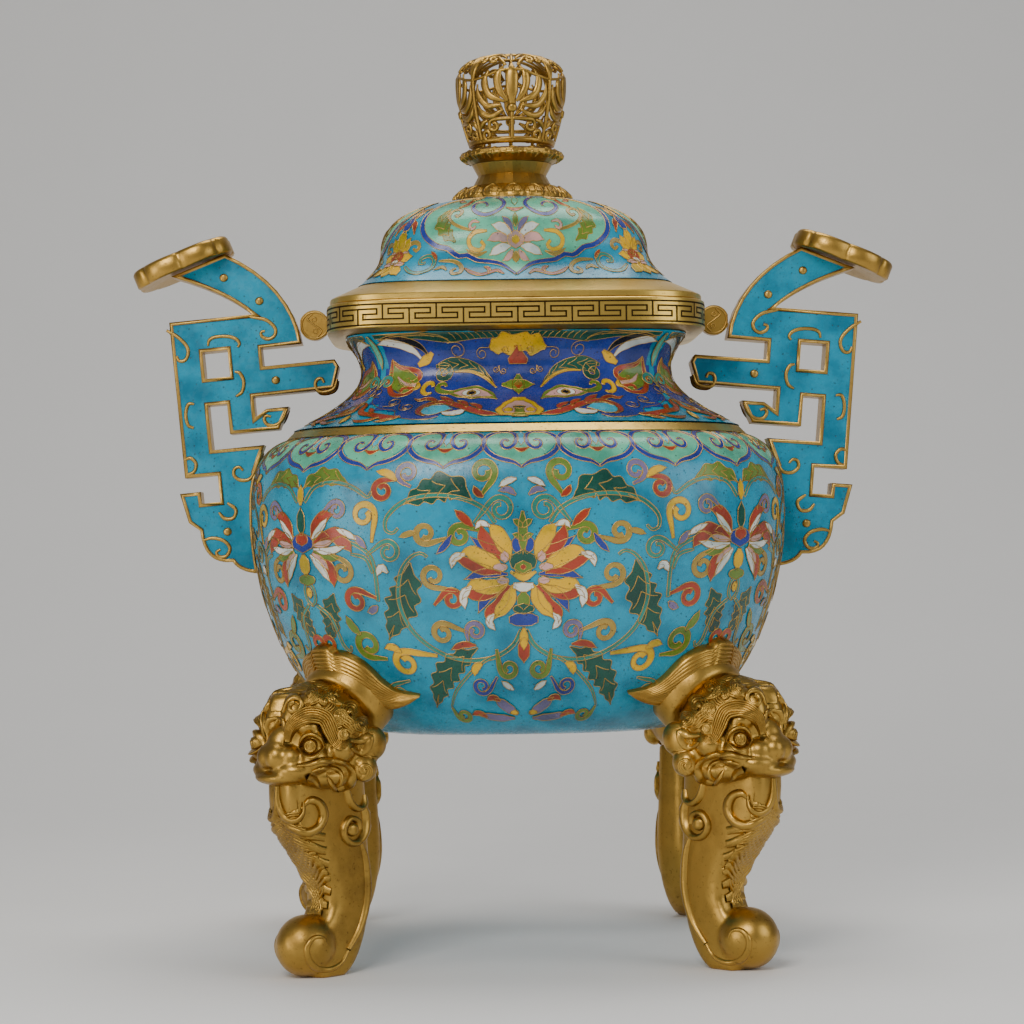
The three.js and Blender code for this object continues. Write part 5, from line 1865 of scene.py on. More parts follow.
    def face(self, skin: BVHTree, foot: BVHTree, hand: float) -> bmesh.types.BMesh:
        """Chase one side of the face, mane and shank.

        Args:
            skin: the head's skin.
            foot: the shank's skin.
            hand: 1 or -1, the side.

        Returns:
            The ridges on the outward axis.
        """
        skull = Chaser(SkullWall(skin, Vector((self.skull_out, 0, self.skull_up)) * MM, hand))
        skull.ridge([(-15.5, -1), (-12.5, 9), (-3, 15), (7, 12.5), (11.5, 3), (16, -3.5), (21, 0)],
                    (4, 9, 10, 9, 7, 6, 3), 3.4)
        skull.bundle([(-14.5, 0.5), (-12, 9), (-3, 14.5), (7, 12.5), (11.5, 3), (16, -4), (21, 0.5)], 7, 1.3,
                     1.5, 2.4)
        skull.bead((17.5, 3.0), 4.6, 5.4)
        skull.ridge(curl((21, 3.0), (17.5, 3.0), 2.6, 1, 1.2), (1.2, 1.2), 1.2, 4.4)
        skull.bead((-1.2, -3.0), 4.6, 4.8)
        skull.ridge([(-8.4, -4), (-5.6, 1.8), (-0.6, 3.8), (4.6, 1.2), (7, -4)], (1.4, 2.8, 2.8, 1.4), 4.6,
                    0.0)
        skull.ridge([(-8.4, -4), (-4.4, -8.4), (1.4, -9), (7, -4)], (1.4, 2.6, 2.6, 1.4), 4.2, 0.0)
        for radius, base in ((2.9, 3.4), (1.4, 4.2)):
            loop = [(-1.2 + radius * math.cos(a), -3.0 + radius * math.sin(a))
                    for a in swept(0.0, math.tau, 14)]
            skull.ridge(loop, (1.1, 1.1), 0.9, base)
        skull.ridge(curl((-19, 17), (-11, 20.5), 5.6, -1, 1.2), (1.8, 3.8, 3.6, 2.6), 3.0)
        skull.ridge([(-24, 9), (-19.5, 13), (-16, 5), (-19, -3)], (1.4, 3.0, 2.6, 1.2), 2.2)
        skull.bundle([(-19, 30), (-10, 31), (0, 32), (9, 31)], 5, 1.5, 1.5)
        skull.bundle([(-4, 21), (3, 26), (9, 29), (14, 29)], 5, 1.5, 1.5)
        for x, y, r, way in ((8, 23, 6.5, 1), (14, 27.5, 6.0, -1), (23, 17, 7.6, -1), (16, 14, 5.4, 1),
                             (29.5, 9, 5.2, -1), (31.5, -6, 5.0, -1), (-1, 28, 5.0, 1)):
            self.lock(skull, (x, y), r, way)
        skull.bundle([(12, 8), (17, 12), (22, 9), (27, 2)], 5, 1.4, 1.5)
        skull.bundle([(21, 3), (26, 7), (31, 6), (33, -1)], 5, 1.3, 1.5)
        skull.ridge([(22, 0), (28, -2), (33, 1), (32, -6), (28, -9), (24, -5)], (2, 5, 6.5, 5, 2), 3.6)
        skull.ridge([(-10, -15), (-2, -14), (6, -12), (14, -13.5), (21, -17), (23.5, -24), (20, -31),
                     (14, -33)],
                    (1.6, 3.4, 4.0, 4.2, 4.2, 4.0, 3.4), 3.4)
        skull.ridge([(0, -19), (6, -17), (13, -18), (17, -22), (16, -28), (11, -31)],
                    (1.4, 2.4, 2.6, 2.4, 1.4), 2.2)
        skull.ridge([(-3, -22), (1, -25), (4, -31)], (4.5, 4.0, 0.6), 3.6)
        skull.ridge([(12, -31), (10.5, -27), (8, -22)], (4.0, 3.2, 0.6), 3.4)
        self.lock(skull, (31, -20), 5.2, 1)
        shank = Chaser(ShankWall(self, hand))
        self.comb(shank)
        self.scrolls(shank)
        flank = Chaser(SkinSide(foot, hand))
        flank.ridge([(172, 18), (180, 8.5), (190, 5.2), (200, 7), (207, 13), (208.5, 21), (204, 26.5),
                     (197.5, 26), (195, 21)],
                    (2.4, 3.4, 4.2, 4.4, 4.4, 4.0, 3.4, 2.4), 3.0, -1.6)
        whole = bmesh.new()
        for part in (skull.mesh, shank.mesh, flank.mesh):
            join(part, whole)
        return whole

    @staticmethod
    def lock(chaser: Chaser, centre: Point, radius: float, way: int) -> None:
        """Chase a spiral lock of the mane.

        Args:
            chaser: the chaser.
            centre: the spiral's middle.
            radius: its radius.
            way: the way it winds.
        """
        x, y = centre
        for inner in (1.0, 0.74, 0.48):
            chaser.ridge(curl((x - way * radius * 1.5 * inner, y - radius * 1.3), centre, radius * inner, way,
                              0.95),
                         (1.0, 1.6, 1.6, 1.2), 1.7, -0.1, 4)
        chaser.bead(centre, radius * 0.28, 1.8)

    @staticmethod
    def comb(chaser: Chaser) -> None:
        """Chase the feathers that fan back from the shank's front.

        Args:
            chaser: the shank's chaser.
        """
        tips = ((178, 88), (177, 79.5), (175, 71), (174, 62), (174, 53), (177, 44.5), (182, 40))
        roots = ((228, 104), (224, 97), (219, 88), (213, 79), (206, 70), (194, 60), (188, 50))
        for (x, y), root in zip(tips, roots):
            middle = ((x * 0.45 + root[0] * 0.55), y * 0.5 + root[1] * 0.5 - 2.0)
            chaser.ridge([root, middle, (x + 7, y + 1.5), (x, y)], (1.5, 5.5, 8.2, 5.5), 1.9, -0.1, 6)
            chaser.bundle([root, middle, (x + 6, y + 1.2)], 4, 1.9, 0.9, 1.1, 0.5)
        chaser.bundle(((230.5, 112), (226.5, 100), (219, 88), (209, 76), (198, 65), (190, 53)), 5, 1.5, 1.2,
                      0.0, 0.7)

    @staticmethod
    def scrolls(chaser: Chaser) -> None:
        """Chase the shank's hooked leaves and its raised back rim.

        Args:
            chaser: the shank's chaser.
        """
        chaser.ridge([(218, 121), (217.5, 111), (212, 101.5), (202.5, 99.5), (196, 104), (195, 111)],
                     (3, 4.4, 5, 4.6, 2.4), 3.0)
        chaser.ridge([(197, 107), (190, 112), (182, 109.5), (178.5, 102), (183, 94.5), (194, 91.5),
                      (207, 94.5), (217, 99)],
                     (2, 5.5, 7.5, 7, 6.5, 5, 2.5), 3.2)
        chaser.ridge([(161, 121), (158.5, 112), (155, 106.5), (149.5, 103.5), (145, 106), (144, 112)],
                     (2.5, 4, 4.6, 4.4, 3.4, 2), 3.0)
        chaser.ridge([(146, 106), (143.5, 97), (145, 88), (151, 82.5), (159, 84), (163, 91), (158, 98),
                      (151.5, 96.5), (150, 91)],
                     (3.0, 4.2, 4.4, 4.6, 4.6, 4.4, 4, 3.4), 3.2)
        chaser.bead((155, 91), 4.6, 3.0)
        chaser.ridge([(148, 84), (144.5, 74), (142.6, 62), (142.4, 50), (145, 38), (150.5, 26.5),
                      (159.5, 16)],
                     (2.0, 3.4, 4.0, 4.2, 4.2, 4.0, 3.4), 2.4, -0.4)

    def build(self, looks: Finishes, belly: RoundedSide) -> None:
        """Build the four legs' heads, shanks and chasing.

        Args:
            looks: the finishes.
            belly: the wall that they meet.
        """
        head, shank = self.head(), self.shank()
        skin, foot = BVHTree.FromBMesh(head), BVHTree.FromBMesh(shank)
        for mesh, name, node in ((head, "lion_heads", "lion_mask"), (shank, "leg_shanks", "leg_shank")):
            self.spread(mesh)
            finish_piece(mesh, name, "vessel", looks.relief, [f"{c}_{node}" for c in CORNERS])
        for hand, name in ((1.0, "left"), (-1.0, "right")):
            mesh = self.face(skin, foot, hand)
            self.spread(mesh)
            finish_piece(mesh, f"leg_chasing_{name}", "vessel", looks.relief)
        sleeve = self.sleeve(belly)
        self.spread(sleeve)
        finish_piece(sleeve, "leg_sleeves", "vessel", looks.relief,
                     [f"{c}_leg_sleeve" for c in CORNERS])
        clothe([f"{c}_{n}" for c in CORNERS for n in ("leg_stud", "leg_nut")], looks.copper)

    @staticmethod
    def spread(mesh: bmesh.types.BMesh) -> None:
        """Turn a leg's mesh to the first corner and repeat it at the others."""
        bmesh.ops.rotate(mesh, verts=mesh.verts, cent=(0, 0, 0), matrix=Matrix.Rotation(math.pi / 4, 3, "Z"))
        around(mesh, SIDES)


@dataclass
class Crest:
    """The striped wings of mane that spread over the belly from each leg. Sizes in millimetres."""

    wall: RoundedSide
    ribs: int = 12
    rib_height: float = 1.5
    root_lift: float = 9.0
    tip_lift: float = 3.5
    columns: int = 72

    def wing(self) -> bmesh.types.BMesh:
        """Shape one wing, from the corner to its tip.

        Returns:
            The wing on the front side's right.
        """
        corner = self.wall.corner
        upper = smooth_path([(corner + 1, 143.5), (141, 144.5), (136.5, 148), (131, 148.8), (124, 151.5),
                             (117, 156), (111.5, 162.5), (107, 169.5), (100, 176), (91, 179.3), (82, 181.2)],
                            self.columns + 1)
        lower = smooth_path([(corner + 1, 173.5), (141, 171.8), (136, 174.8), (129, 182), (122, 188),
                             (115, 190.4), (106, 190.4), (98, 188.6), (90, 185.8), (82, 181.5)],
                            self.columns + 1)
        rows = self.ribs * 6 + 2
        wing = bmesh.new()
        bmesh.ops.create_grid(wing, x_segments=self.columns, y_segments=rows, size=0.5)
        for vert in wing.verts:
            i, j = round((vert.co.x + 0.5) * self.columns), round((vert.co.y + 0.5) * rows)
            share = min(max((j - 1) / (rows - 2), 0.0), 1.0)
            along = i / self.columns
            spot = upper[i].lerp(lower[i], share)
            swell = self.tip_lift + (self.root_lift - self.tip_lift) * (1 - along) ** 0.7
            swell *= 0.62 + 0.38 * math.sin(math.pi * share)
            rib = abs(math.sin(math.pi * share * self.ribs)) * (1 - along ** 4)
            lift = -0.5 if j in (0, rows) else swell + self.rib_height * rib
            vert.co = self.wall.at(spot.x, spot.y, lift)
        return wing

    def build(self, looks: Finishes) -> None:
        """Build both wings at every corner.

        Args:
            looks: the finishes.
        """
        wing = self.wing()
        twin = wing.copy()
        bmesh.ops.scale(twin, verts=twin.verts, vec=(-1, 1, 1))
        join(twin, wing)
        bmesh.ops.recalc_face_normals(wing, faces=wing.faces)
        around(wing, SIDES)
        finish_piece(wing, "mane_wings", "vessel", looks.relief,
                     [f"{c}_mane_crest" for c in CORNERS])


@dataclass
class Handles:
    """The two fret handles, their ears and roundels. Sizes in millimetres, in the right handle's frame."""

    origin: Vector = field(default_factory=lambda: Vector((200.0, 0.0, 357.8)))
    lean: float = math.radians(5)
    half_thickness: float = 10.5
    roundel: Point = (-70.6, 55.0)
    roundel_face: float = 4.5

    def face(self, side: float) -> FlatFace:
        """One broad face of the handle."""
        return FlatFace(self.origin, self.lean, side * self.half_thickness)

    def outline(self, belly: RoundedSide) -> list[Point]:
        """The fret's outline, closed along the belly.

        Args:
            belly: the wall that the handle meets.

        Returns:
            The corners, in order.
        """
        head = [(-61, 43), (-33.5, 43), (-33.5, 30.5), (-81.8, 30.5), (-84.3, 25.5), (-79.3, 11), (-25, 11),
                (-25, -3), (-33, 2), (-48, 2), (-40, -12.5), (-7, -12.5), (-7, 8), (6, 8), (6, -22),
                (-29, -22), (-21, -39)]
        seam = []
        for u in swept(-40.0, -107.5, 14):
            a = -21.0
            for _ in range(6):
                z = self.origin.z - a * math.sin(self.lean) + u * math.cos(self.lean)
                half = belly.half_at(z)
                a += half + 0.8 - (self.origin.x + a * math.cos(self.lean) + u * math.sin(self.lean))
            seam.append((a, u))
        foot = [*self.bend(seam[-1], (-4, -105.5), (0, -98)), *self.bend((0, -98), (19.5, -98), (19.5, -75)),
                (26.5, -69), (30.5, -49), (16.5, -49), (16.5, -57), (4, -57), (4, -39), (26, -39), (26, 66),
                (-30, 66)]
        arm = [*self.bend((-30, 66), (-13, 83), (21.5, 96.6)), (-15.8, 108.0),
               *self.bend((-15.8, 108), (-58, 84), (-61, 43))[:-1]]
        return [*head, *seam, *foot, *arm]

    @staticmethod
    def bend(start: Point, pull: Point, end: Point) -> list[Point]:
        """Points of a quadratic bend after its start."""
        a, b, c = Vector(start), Vector(pull), Vector(end)
        return [tuple(a * (1 - t) ** 2 + b * 2 * t * (1 - t) + c * t * t) for t in swept(0.0, 1.0, 9)[1:]]

    def plate(self, belly: RoundedSide, side: float, enamel: bmesh.types.BMesh,
              gilt: bmesh.types.BMesh) -> None:
        """Fill one face with enamel and raise its gilt edge.

        Args:
            belly: the wall that the handle meets.
            side: -1 for the front, 1 for the back.
            enamel: takes the field.
            gilt: takes the edge.
        """
        flat = bmesh.new()
        window = [(-11, 26), (-11, 44), (6, 44), (6, 26)]
        for loop in (self.outline(belly), window):
            verts = [flat.verts.new((x, y, 0)) for x, y in loop]
            for a, b in zip(verts, verts[1:] + verts[:1]):
                flat.edges.new((a, b))
        bmesh.ops.triangle_fill(flat, use_beauty=True, use_dissolve=False, edges=flat.edges)
        rim = bmesh.ops.inset_region(flat, faces=flat.faces, thickness=2.3, use_boundary=True,
                                     use_even_offset=True)["faces"]
        for made in rim:
            made.material_index = 1
        edge = flat.copy()
        for mesh, kept in ((edge, 1), (flat, 0)):
            bmesh.ops.delete(mesh, geom=[f for f in mesh.faces if f.material_index != kept], context="FACES")
        for made in edge.faces:
            made.material_index = 0
        raised = bmesh.ops.extrude_face_region(edge, geom=edge.faces[:])["geom"]
        bmesh.ops.translate(edge, verts=[e for e in raised if isinstance(e, bmesh.types.BMVert)],
                            vec=(0, 0, 1))
        wall = self.face(side)
        for mesh, base, rise in ((flat, 0.12, 0.0), (edge, 0.0, 0.75)):
            for vert in mesh.verts:
                vert.co = wall.at(vert.co.x, vert.co.y, base + rise * vert.co.z)
        bmesh.ops.recalc_face_normals(edge, faces=edge.faces)
        bmesh.ops.recalc_face_normals(flat, faces=flat.faces)
        face_out(flat, wall, Vector((0, 0)))
        join(flat, enamel)
        join(edge, gilt)

    def cords(self, side: float) -> bmesh.types.BMesh:
        """Raise the gilt cords, bosses and the roundel's sign on one face.

        Args:
            side: -1 for the front, 1 for the back.

        Returns:
            The ridges.
        """
        work = Chaser(self.face(side), step=1.0)
        cords = (
            ((28.3, 61.0), (21.8, 56.4), (16.3, 49.8), (15.4, 44.5), (18.0, 39.9), (22.0, 39.9),
             (23.3, 43.2)),
            ((1.7, 47.9), (0.5, 51.6), (-3.9, 53.4), (-11.7, 53.0), (-17.5, 50.6), (-19.5, 47.0),
             (-17.9, 45.2)),
            ((-14.4, 28.9), (-17.6, 27.6), (-19.7, 21.8), (-17.9, 15.1), (-13.7, 12.4)),
            ((14.9, 10.1), (18.9, 10.2), (21.2, 3.5), (20.4, -3.6), (16.8, -6.0)),
            ((-28.1, 64.5), (-38.4, 61.5), (-44.0, 55.7), (-43.5, 50.6), (-39.0, 48.4), (-34.9, 50.6),
             (-34.6, 53.6), (-37.2, 54.0)),
            ((-82.1, 17.1), (-79.7, 11.5), (-75.1, 9.5), (-69.3, 10.0), (-67.2, 14.2), (-68.5, 18.0),
             (-72, 18.4), (-73.2, 15.6)),
            ((-46.7, 0.5), (-42.7, -6.3), (-38.1, -9.4), (-33.0, -8.9), (-30.7, -5.2), (-32.2, -2.6),
             (-35.4, -3.6)),
            ((25.6, -26.9), (21.2, -25.7), (17.7, -29.8), (19.4, -34.9), (23.6, -36.5)),
            ((-26.4, -26.5), (-21.2, -38.1), (-17.0, -43.7), (-10.9, -43.9), (-6.9, -40.4), (-7.6, -36.0),
             (-10.9, -35.0), (-13.2, -37.6)),
            ((-0.5, -58.2), (-5.7, -63.2), (-3.4, -68.6), (2.4, -68.4), (5.7, -64.0)),
            ((18.4, -81.7), (12.1, -80.6), (4.5, -83.2), (0.9, -88.6), (3.8, -93.5), (8.6, -93.6),
             (10.2, -90.4), (7.3, -88.8)),
        )
        for cord in cords:
            work.ridge(cord, (1.9, 2.7, 2.7, 2.7, 2.7, 2.0), 1.2)
        for spot in ((-13.4, 92.3), (-35.6, 74.4), (-41.1, 20.5), (1.4, -77.4)):
            work.bead(spot, 3.0, 1.7)
        x, y = self.roundel
        sign = Chaser(FlatFace(self.origin, self.lean, side * self.roundel_face), step=0.6)
        curve = [(x + 1, y + 7.8), (x + 4.2, y + 4.2), (x, y), (x - 4.2, y - 4.2), (x - 1, y - 7.8)]
        sign.ridge(curve, (1.3, 1.3), 0.7)
        for radius, up, width in ((8.8, 0.0, 1.5), (1.5, 4.0, 0.9), (1.5, -4.0, 0.9)):
            loop = [(x + radius * math.cos(a), y + up + radius * math.sin(a))
                    for a in swept(0.0, math.tau, 25)]
            sign.ridge(loop, (width, width), 0.7, columns=4)
        join(sign.mesh, work.mesh)
        return work.mesh

    def build(self, looks: Finishes, belly: RoundedSide) -> None:
        """Dress both handles.

        Args:
            looks: the finishes.
            belly: the wall that they meet.
        """
        enamel, gilt = bmesh.new(), bmesh.new()
        for side in (-1.0, 1.0):
            self.plate(belly, side, enamel, gilt)
            join(self.cords(side), gilt)
        around(enamel, 2)
        around(gilt, 2)
        finish_piece(enamel, "handle_enamel", "vessel", looks.enamel, smooth=False)
        finish_piece(gilt, "handle_cords", "vessel", looks.gold)
        for hand in ("left", "right"):
            clothe([f"{hand}_handle_slab", f"{hand}_taiji_roundel"], looks.relief)
            clothe([f"{hand}_handle_{n}_{p}" for n in ("stud", "nut") for p in ("upper", "lower")],
                   looks.copper)


@dataclass
class Ear:
    """A scalloped plate on top of a handle. Sizes in millimetres, in the plate's own frame."""

    length: float = 69.0
    width: float = 65.0
    half_thick: float = 6.1
    lobe_depth: float = 3.0
    lobe_round: float = 0.55
    power: float = 3.0
    bow: float = 3.4
    slope: float = math.radians(17)
    middle: Point = (13.3, 105.8)

    def outline(self, mesh: bmesh.types.BMesh, share: float, height: float,
                side: FlatFace) -> list[bmesh.types.BMEdge]:
        """Add one ring of the plate.

        Args:
            mesh: takes the ring.
            share: its size, as a share of the outline.
            height: its height over the plate's middle.
            side: the handle's leaning plane.

        Returns:
            The ring's edges.
        """
        rise = height + self.bow * (1 - share * share) - self.bow * 0.4

        def place(spot: Vector) -> Vector:
            """A point of the unit circle on the scalloped outline."""
            angle = math.atan2(spot.y, spot.x)
            dent = self.lobe_depth * (1 - abs(math.sin(4 * angle)) ** self.lobe_round) * share ** 3
            far = reach(angle, self.power)
            along = math.cos(angle) * far * (self.length / 2 * share - dent)
            across = math.sin(angle) * far * (self.width / 2 * share - dent)
            out = self.middle[0] + along * math.cos(self.slope) + rise * math.sin(self.slope)
            up = self.middle[1] - along * math.sin(self.slope) + rise * math.cos(self.slope)
            flat = side.at(out, up, 0.0)
            return Vector((flat.x, across * MM, flat.z))

        return ring(mesh, 128, 1.0, place)

    def shell(self, rings: Sequence[Point], side: FlatFace) -> bmesh.types.BMesh:
        """Bridge rings and cap both ends.

        Args:
            rings: shares and heights, in order.
            side: the handle's leaning plane.

        Returns:
            The closed plate.
        """
        mesh = bmesh.new()
        loft(mesh, [self.outline(mesh, share, height, side) for share, height in rings], capped=(0, -1))
        return mesh

    def build(self, looks: Finishes, side: FlatFace) -> None:
        """Build both ears and the enamel on top of them.

        Args:
            looks: the finishes.
            side: the right handle's leaning plane.
        """
        top = self.half_thick
        plate = self.shell([(0.3, -top), (0.6, -top), (0.9, -top), (0.97, -top + 0.5), (1.0, -top + 1.8),
                            (1.0, top - 1.8), (0.97, top - 0.4), (0.94, top), (0.88, top), (0.86, top - 0.9),
                            (0.6, top - 0.9), (0.3, top - 0.9)], side)
        glaze = self.shell([(0.3, top - 1.4), (0.86, top - 1.4), (0.862, top - 0.5), (0.6, top - 0.5),
                            (0.3, top - 0.5)], side)
        around(plate, 2)
        around(glaze, 2)
        finish_piece(plate, "handle_ears", "vessel", looks.relief,
                     [f"{h}_handle_ear" for h in ("left", "right")])
        finish_piece(glaze, "handle_ear_enamel", "vessel", looks.enamel)


@dataclass
class Finial:
    """The openwork basket, its lotus collar and its base. Sizes in millimetres."""

    low_radius: float = 27.5
    swell: float = 9.3
    low_z: float = 535.6
    side_rise: float = 44.5
    crown_rise: float = 18.7
    hole: float = 8.6
    crown_power: float = 2.6
    reference: float = 34.0

    def basket(self) -> RoundWall:
        """The basket's wall, from its top hole down."""
        widest = self.low_radius + self.swell
        end = math.acos((self.hole / widest) ** (self.crown_power / 2))
        crown = [(widest * math.cos(a) ** (2 / self.crown_power),
                  self.low_z + self.side_rise + self.crown_rise * math.sin(a) ** (2 / self.crown_power))
                 for a in swept(end, 0.0, 24)]
        side = [(self.low_radius + self.swell * math.sin(t * math.pi / 2), self.low_z + self.side_rise * t)
                for t in swept(1.0, 0.0, 16)[1:]]
        return RoundWall([*crown, *side], self.reference)

    @staticmethod
    def tracery(middle: float) -> list[tuple[list[Point], tuple[float, ...]]]:
        """The basket's openwork on the right half of a panel.

        Args:
            middle: how far across the upright bar between panels is.

        Returns:
            Lines with their widths.
        """
        return [
            ([(3, 55), (8.5, 46), (9, 37), (5, 30)], (2.0, 5.0, 5.4, 1.0)),
            ([(5, 55), (15, 50), (18, 41), (15, 33)], (2.0, 5.0, 5.4, 1.0)),
            ([(7, 57), (17, 57), (23, 50), (23.5, 42)], (2.0, 4.6, 4.8, 1.0)),
            ([(6, 60), (14, 64), (21, 62), (25, 56)], (2.0, 4.6, 4.4, 1.0)),
            (curl((0, 66), (13.5, 70.5), 4.2, 1, 1.1), (2.6, 3.0, 3.0, 3.0, 2.6)),
            (curl((0.5, 79), (20, 76.5), 3.8, -1, 1.1), (2.6, 3.0, 3.0, 3.0, 2.6)),
            ([(18, 67), (22, 68), (26, 73)], (2.2, 4.0, 1.4)),
            (curl((middle, 40), (21, 24), 3.4, -1, 1.0), (2.4, 3.0, 3.0, 2.8, 2.4)),
            (curl((4, 30), (12.5, 24), 4.0, 1, 1.0), (2.4, 3.2, 3.0, 2.8, 2.4)),
            ([(middle, 30), (20, 15), (13, 6), (10, 1)], (2.6, 4.4, 4.2, 2.6)),
            ([(3, 22), (10, 14), (13, 7)], (2.0, 4.2, 2.0)),
        ]

    def openwork(self) -> bmesh.types.BMesh:
        """Cast the basket's tracery all round, with a thickness."""
        work = Chaser(self.basket(), step=1.2)
        middle = math.pi / 4 * self.reference
        for line, widths in self.tracery(middle):
            work.ridge(line, widths, 1.5, -0.8)
            work.ridge([(-x, y) for x, y in line], widths, 1.5, -0.8)
        work.ridge([(0, 57), (0, 42), (0, 27)], (3.0, 8.0, 8.4, 1.0), 1.5, -0.8)
        work.ridge([(0, 27), (0, 12), (0, 0.5)], (2.0, 3.6, 3.0), 1.4, -0.8)
        work.ridge([(0, 60), (0, 70), (0, 82)], (3.0, 3.0, 3.6), 1.4, -0.8)
        work.ridge([(middle, 80), (middle, 56), (middle, 34), (middle, 8)], (3.4, 2.8, 2.8, 2.6), 1.4, -0.8)
        work.bead((0, 59), 3.4, 2.2, -0.8)
        across = [(x, 1.8) for x in swept(-middle, middle, 7)]
        work.ridge(across, (4.2, 4.2), 1.6, -1.0)
        work.ridge([(x, 80.2) for x, _ in across], (4.6, 4.6), 1.6, -1.0)
        work.ridge([(x, 36 - 3 * math.cos(x / middle * math.pi)) for x, _ in across], (2.0, 2.0), 1.2, -0.9)
        around(work.mesh, SIDES)
        bmesh.ops.solidify(work.mesh, geom=work.mesh.faces[:], thickness=1.3 * MM)
        return work.mesh

    @staticmethod
    def petals(profile: Sequence[Point], number: int, height: float) -> bmesh.types.BMesh:
        """Chase a ring of lotus petals.

        Args:
            profile: the wall's radius and height, from its top.
            number: how many petals.
            height: how tall each one is along the wall.

        Returns:
            The ring.
        """
        reference = sum(r for r, _ in profile) / len(profile)
        pitch = math.tau * reference / number
        work = Chaser(RoundWall(profile, reference), step=0.9)
        work.ridge([(0, height), (0, height * 0.5), (0, 0.3)], (pitch * 0.8, pitch * 1.02, pitch * 0.9, 0.8),
                   1.1)
        work.ridge([(pitch * 0.26, height * 0.95), (pitch * 0.3, height * 0.5), (0, height * 0.16),
                    (-pitch * 0.3, height * 0.5), (-pitch * 0.26, height * 0.95)], (0.8, 1.0, 1.0, 0.8), 0.9,
                   0.5, 4)
        work.ridge([(0, height * 0.9), (0, height * 0.6), (0, height * 0.4)], (1.4, 2.2, 0.6), 0.9, 0.7, 4)
        around(work.mesh, number)
        return work.mesh

    def build(self, looks: "Finishes") -> None:
        """Build the finial's pieces.

        Args:
            looks: the finishes.
        """
        finish_piece(self.openwork(), "finial_openwork", "cover", looks.relief,
                     ["finial_basket"])
        collar = self.petals([(28.5, 534.8), (34.3, 530.6), (30.5, 527.8), (27.2, 526.0)], 16, 12.0)
        join(self.petals([(31.2, 509.9), (35.8, 506.4), (39.3, 503.0), (39.6, 500.4)], 16, 13.0), collar)
        finish_piece(collar, "finial_petals", "cover", looks.relief)
        clothe(["finial_base", "finial_neck", "finial_lotus_collar"], looks.relief)


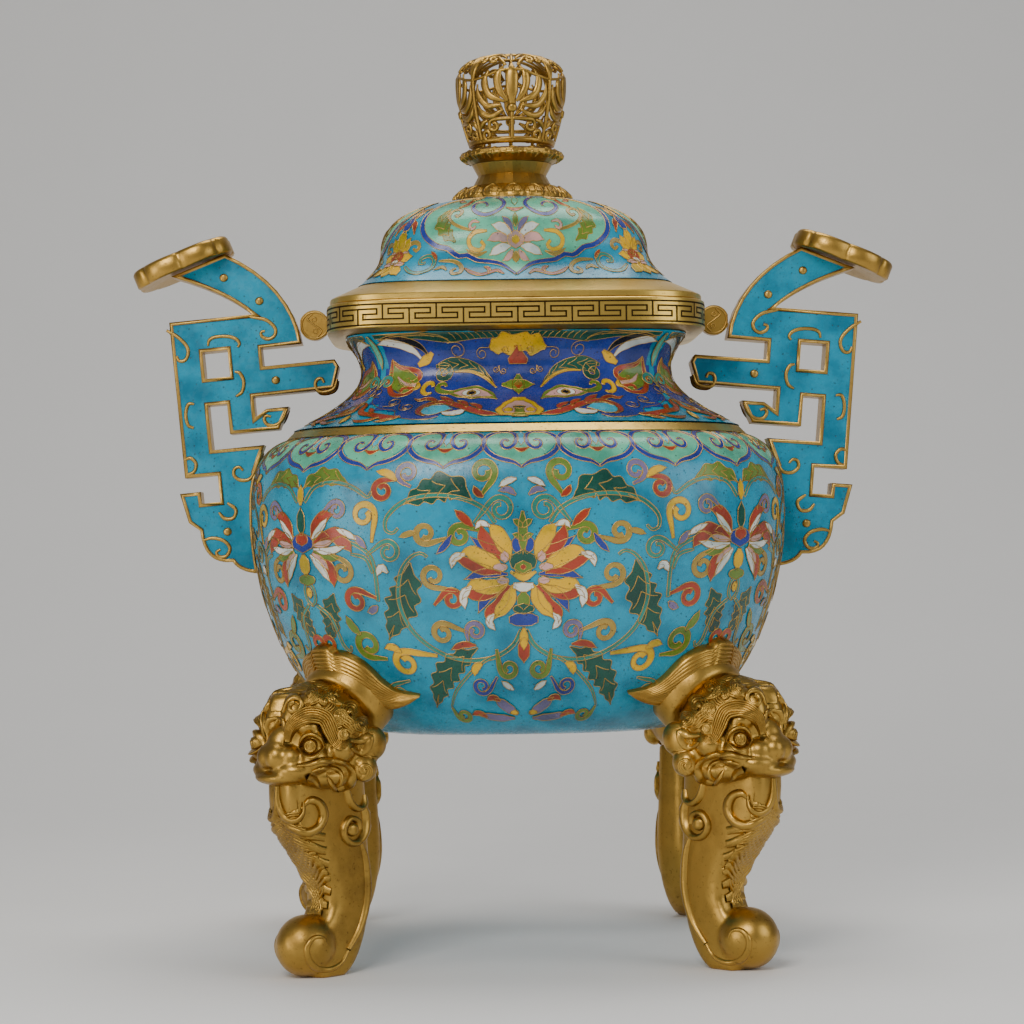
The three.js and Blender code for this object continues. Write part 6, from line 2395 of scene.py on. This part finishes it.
@dataclass
class Studio:
    """The floor, the lights and the camera at the photograph's angle. Lengths in metres."""

    eye_height: float = 0.2688
    distance: float = 1.96
    turn: float = math.radians(-1.1)
    roll: float = math.radians(-0.84)
    focal: float = 101.95
    right_shift: float = -5.5 / 1024
    up_shift: float = 33.0 / 1024
    bend_start: float = 0.9
    bend_radius: float = 1.2

    def floor(self) -> None:
        """Lay a pale floor that curves up behind."""
        mesh = bmesh.new()
        bmesh.ops.create_grid(mesh, x_segments=2, y_segments=96, size=6.0)
        for vert in mesh.verts:
            over = max(vert.co.y - self.bend_start, 0.0)
            turned = min(over / self.bend_radius, math.pi / 2)
            straight = over - turned * self.bend_radius
            vert.co.z = self.bend_radius * (1 - math.cos(turned)) + straight
            vert.co.y = min(vert.co.y, self.bend_start) + self.bend_radius * math.sin(turned)
        for face in mesh.faces:
            face.smooth = True
        data = bpy.data.meshes.new("studio_floor")
        mesh.to_mesh(data)
        mesh.free()
        floor = bpy.data.objects.new("studio_floor", data)
        bpy.context.scene.collection.objects.link(floor)
        data.materials.append(Plain("pale_floor", (0.88, 0.87, 0.85), 0.7).make())

    def light(self, name: str, place: Place, aim: Place, size: float, power: float, colour: Colour) -> None:
        """Hang a soft square light.

        Args:
            name: its name.
            place: where it hangs.
            aim: the point that it faces.
            size: its side.
            power: its power in watts.
            colour: its colour.
        """
        lamp = bpy.data.lights.new(name, "AREA")
        lamp.shape = "SQUARE"
        lamp.size = size
        lamp.energy = power
        lamp.color = colour
        held = bpy.data.objects.new(name, lamp)
        held.location = place
        held.rotation_euler = (Vector(aim) - Vector(place)).to_track_quat("-Z", "Y").to_euler()
        bpy.context.scene.collection.objects.link(held)

    def world(self) -> None:
        """Fill the room with pale light."""
        world = bpy.data.worlds.new("studio")
        bpy.context.scene.world = world
        world.use_nodes = True
        back = world.node_tree.nodes["Background"]
        back.inputs["Color"].default_value = (0.80, 0.82, 0.85, 1.0)
        back.inputs["Strength"].default_value = 0.30

    def camera(self) -> None:
        """Set the camera level at the photograph's height and roll."""
        lens = bpy.data.cameras.new("camera")
        lens.lens = self.focal
        lens.sensor_width = 36.0
        lens.shift_x = self.right_shift
        lens.shift_y = self.up_shift
        lens.clip_end = 50.0
        held = bpy.data.objects.new("camera", lens)
        held.location = (math.sin(self.turn) * self.distance, -math.cos(self.turn) * self.distance,
                         self.eye_height)
        level = Matrix.Rotation(self.turn, 4, "Z") @ Matrix.Rotation(math.pi / 2, 4, "X")
        held.rotation_euler = (level @ Matrix.Rotation(self.roll, 4, "Z")).to_euler()
        bpy.context.scene.collection.objects.link(held)
        bpy.context.scene.camera = held

    def build(self) -> None:
        """Build the whole stage."""
        self.camera()
        self.floor()
        self.world()
        self.light("key", (-0.55, -1.7, 1.35), (0, 0, 0.32), 0.8, 21, (1.0, 0.97, 0.93))
        self.light("fill", (1.6, -1.2, 0.9), (0, 0, 0.28), 1.2, 11, (0.95, 0.97, 1.0))
        self.light("top", (0.1, 0.3, 1.9), (0, 0, 0.4), 1.0, 15, (1.0, 0.98, 0.95))
        self.light("low", (-1.3, -1.0, 0.35), (0, 0, 0.2), 0.7, 5, (1.0, 0.96, 0.9))


def main() -> None:
    """Build the studio and each sub-assembly in order."""
    logging.basicConfig(level=logging.INFO, format="%(message)s")
    Studio().build()
    looks = Finishes.make()
    vessel = Vessel()
    vessel.build(looks)
    Lid().build(looks)
    Finial().build(looks)
    handles = Handles()
    handles.build(looks, vessel.belly())
    Ear().build(looks, handles.face(1.0))
    Leg().build(looks, vessel.belly())
    Crest(vessel.belly()).build(looks)


if __name__ == "__main__":
    main()
